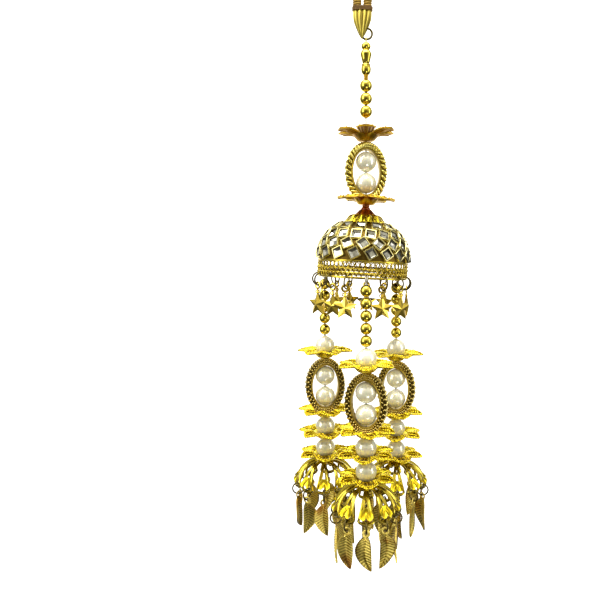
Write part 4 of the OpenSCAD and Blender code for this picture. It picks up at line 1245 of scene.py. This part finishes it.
def make_strand(name):
    x, y = strand_axis(name)
    make_thread(name)
    make_beads(name)
    for key, azimuth in zip("abcd", FLOWER_TURNS[name]):
        node = f"{name}_flower_{key}"
        make_flower(f"{name}_petals_{key}", node, azimuth, shift(x, y, low(node)[2]), FLOWER_GILT)
    centre = (x, y, middle(f"{name}_frame")[2])
    make_frame(f"{name}_oval", f"{name}_frame", FRAME_YAW[name], centre, plait_pitch=1.2,
               rows=[(0.95, 40), (0.2, -40), (-0.6, 40)], grain=(0.66, 0.38, 0.78),
               core_gilt=HOLLOW_SHADE_GILT, plait_gilt=ANTIQUE_GILT)
    make_cage(name)
    make_leaves(name)


# The whole ornament

def make_drop_line():
    """The thread from the pin down into the dome, where a knot holds it."""
    work = Work()
    foot = LEAN @ Vector((0, 0, DOME_BASE_Z + 12))
    work.add(tube([(0, 0, high("drop_thread")[2]), (0, 0, LEAN_Z), foot], THREAD_D / 2, 10))
    knot_z = DOME_BASE_Z + DOME_H - DOME_SHELL_T - FIT - KNOT_R
    work.add(lump(12, 8), LEAN @ shift(0, 0, knot_z) @ Matrix.Scale(KNOT_R, 4))
    finish_piece("drop_nylon", work, NYLON, "drop", ["drop_thread"])


make_binding()
make_bundle()
make_top_hardware()
make_drop_line()
make_flower("top_petals", "top_flower", 0, shift(0, 0, low("top_flower")[2]), BROWN_SHADE_GILT, rise=1.5)
make_frame("top_oval", "top_frame", FRAME_YAW["top"], (0, 0, middle("top_frame")[2]), plait_pitch=1.36,
           rows=[(0.15, 50)], grain=(1.8, 0.62, 0.9),
           core_gilt=SHADE_GILT, plait_gilt=ROPE_GILT)
for i in (1, 2):
    pearl = Work().add(drilled_ball(PEARL_D, sides=48), shift(*middle(f"top_pearl_{i}")))
    finish_piece(f"top_dipped_pearl_{i}", pearl, PEARL, "drop", [f"top_pearl_{i}"])
make_flower("dome_petals", "dome_flower", 30, LEAN @ shift(0, 0, DOME_FLOWER_Z), PLATE_GILT, rise=0)
make_crown()
make_dome()
make_band()
make_stars()
for strand in STRANDS:
    make_strand(strand)


# Floor, backdrop and light

def make_stage():
    """White paper behind the ornament, curved forward at its foot."""
    wall_y, foot_z, top_z, bend = 0.6, -0.75, 0.36, 0.12
    left_x, right_x = -0.62, 0.44
    rows = [(wall_y - bend + bend * math.sin(a), foot_z + bend * (1 - math.cos(a)))
            for a in [math.radians(90 * k / 12) for k in range(13)]]
    rows.append((wall_y, top_z))
    mesh = bpy.data.meshes.new("paper_sweep")
    points = [(x, y, z) for y, z in rows for x in (left_x, right_x)]
    mesh.from_pydata(points, [], [[2 * i, 2 * i + 1, 2 * i + 3, 2 * i + 2] for i in range(len(rows) - 1)])
    mesh.shade_smooth()
    made, tree, shader = blank("white_paper")
    spot = add_node(tree, "ShaderNodeTexCoord").outputs["Object"]
    fibre = add_node(tree, "ShaderNodeTexNoise", {"Scale": 1 / (2 * MM), "Detail": 2}, {"Vector": spot})
    tree.links.new(ramp(tree, fibre.outputs["Fac"], [(0.3, "#fafaf8"), (0.7, "#f4f4f2")]),
                   shader.inputs["Base Color"])
    shader.inputs["Roughness"].default_value = 0.9
    shader.inputs["Emission Color"].default_value = srgb("#ffffff")
    shader.inputs["Emission Strength"].default_value = 0.8
    mesh.materials.append(made)
    sweep = bpy.data.objects.new("paper_sweep", mesh)
    bpy.context.scene.collection.objects.link(sweep)


def area_light(name, place, aim, size, watts):
    """A softbox of a width and height in metres, turned to face the point that it aims at."""
    lamp = bpy.data.lights.new(name, "AREA")
    lamp.shape = "RECTANGLE"
    lamp.size, lamp.size_y = size
    lamp.energy = watts
    made = bpy.data.objects.new(name, lamp)
    made.location = place
    made.rotation_euler = (Vector(aim) - Vector(place)).to_track_quat("-Z", "Y").to_euler()
    bpy.context.scene.collection.objects.link(made)


def set_light():
    world = bpy.data.worlds.new("studio_air")
    world.use_nodes = True
    bpy.context.scene.world = world
    tree = world.node_tree
    # the room is dark round the camera and underfoot, grey at the sides and bright above
    towards = add_node(tree, "ShaderNodeTexCoord").outputs["Generated"]
    parts = add_node(tree, "ShaderNodeSeparateXYZ", links={"Vector": towards}).outputs
    depth = add_node(tree, "ShaderNodeMapRange", {"From Min": -1, "From Max": 1}, {"Value": parts["Y"]})
    room = ramp(tree, depth.outputs["Result"],
                [(0, "#3c372c"), (0.035, "#98937f"), (0.2, "#b6b3a8"), (0.5, "#a4a39c"), (1, "#64635e")])
    level = add_node(tree, "ShaderNodeMapRange", {"From Min": -1, "From Max": 1}, {"Value": parts["Z"]})
    share = ramp(tree, level.outputs["Result"],
                 [(0.12, "#3a3a3a"), (0.44, "#828282"), (0.56, "#a4a4a4"), (0.98, "#ffffff")])
    brightness = 3.4
    height = add_node(tree, "ShaderNodeMath", {"operation": "MULTIPLY", 1: brightness}, {0: share})
    tree.links.new(room, tree.nodes["Background"].inputs["Color"])
    tree.links.new(height.outputs[0], tree.nodes["Background"].inputs["Strength"])
    area_light("top_softbox", (-0.1, -0.2, 0.7), aim=(0, 0, -0.1), size=(0.8, 0.6), watts=9)
    area_light("left_softbox", (-0.7, -0.4, 0.15), aim=(0, 0, -0.12), size=(0.4, 0.8), watts=3)
    area_light("right_softbox", (0.75, -0.25, 0), aim=(0, 0, -0.12), size=(0.3, 0.8), watts=2)
    area_light("low_front_softbox", (0.25, -0.7, -0.7), aim=(0, 0, -0.14), size=(0.4, 0.3), watts=1.3)
    area_light("backdrop_light", (0, 0.1, 0.8), aim=(0, 0.6, -0.1), size=(1.2, 0.2), watts=3)


make_stage()
set_light()
bpy.context.scene.view_settings.view_transform = "Standard"
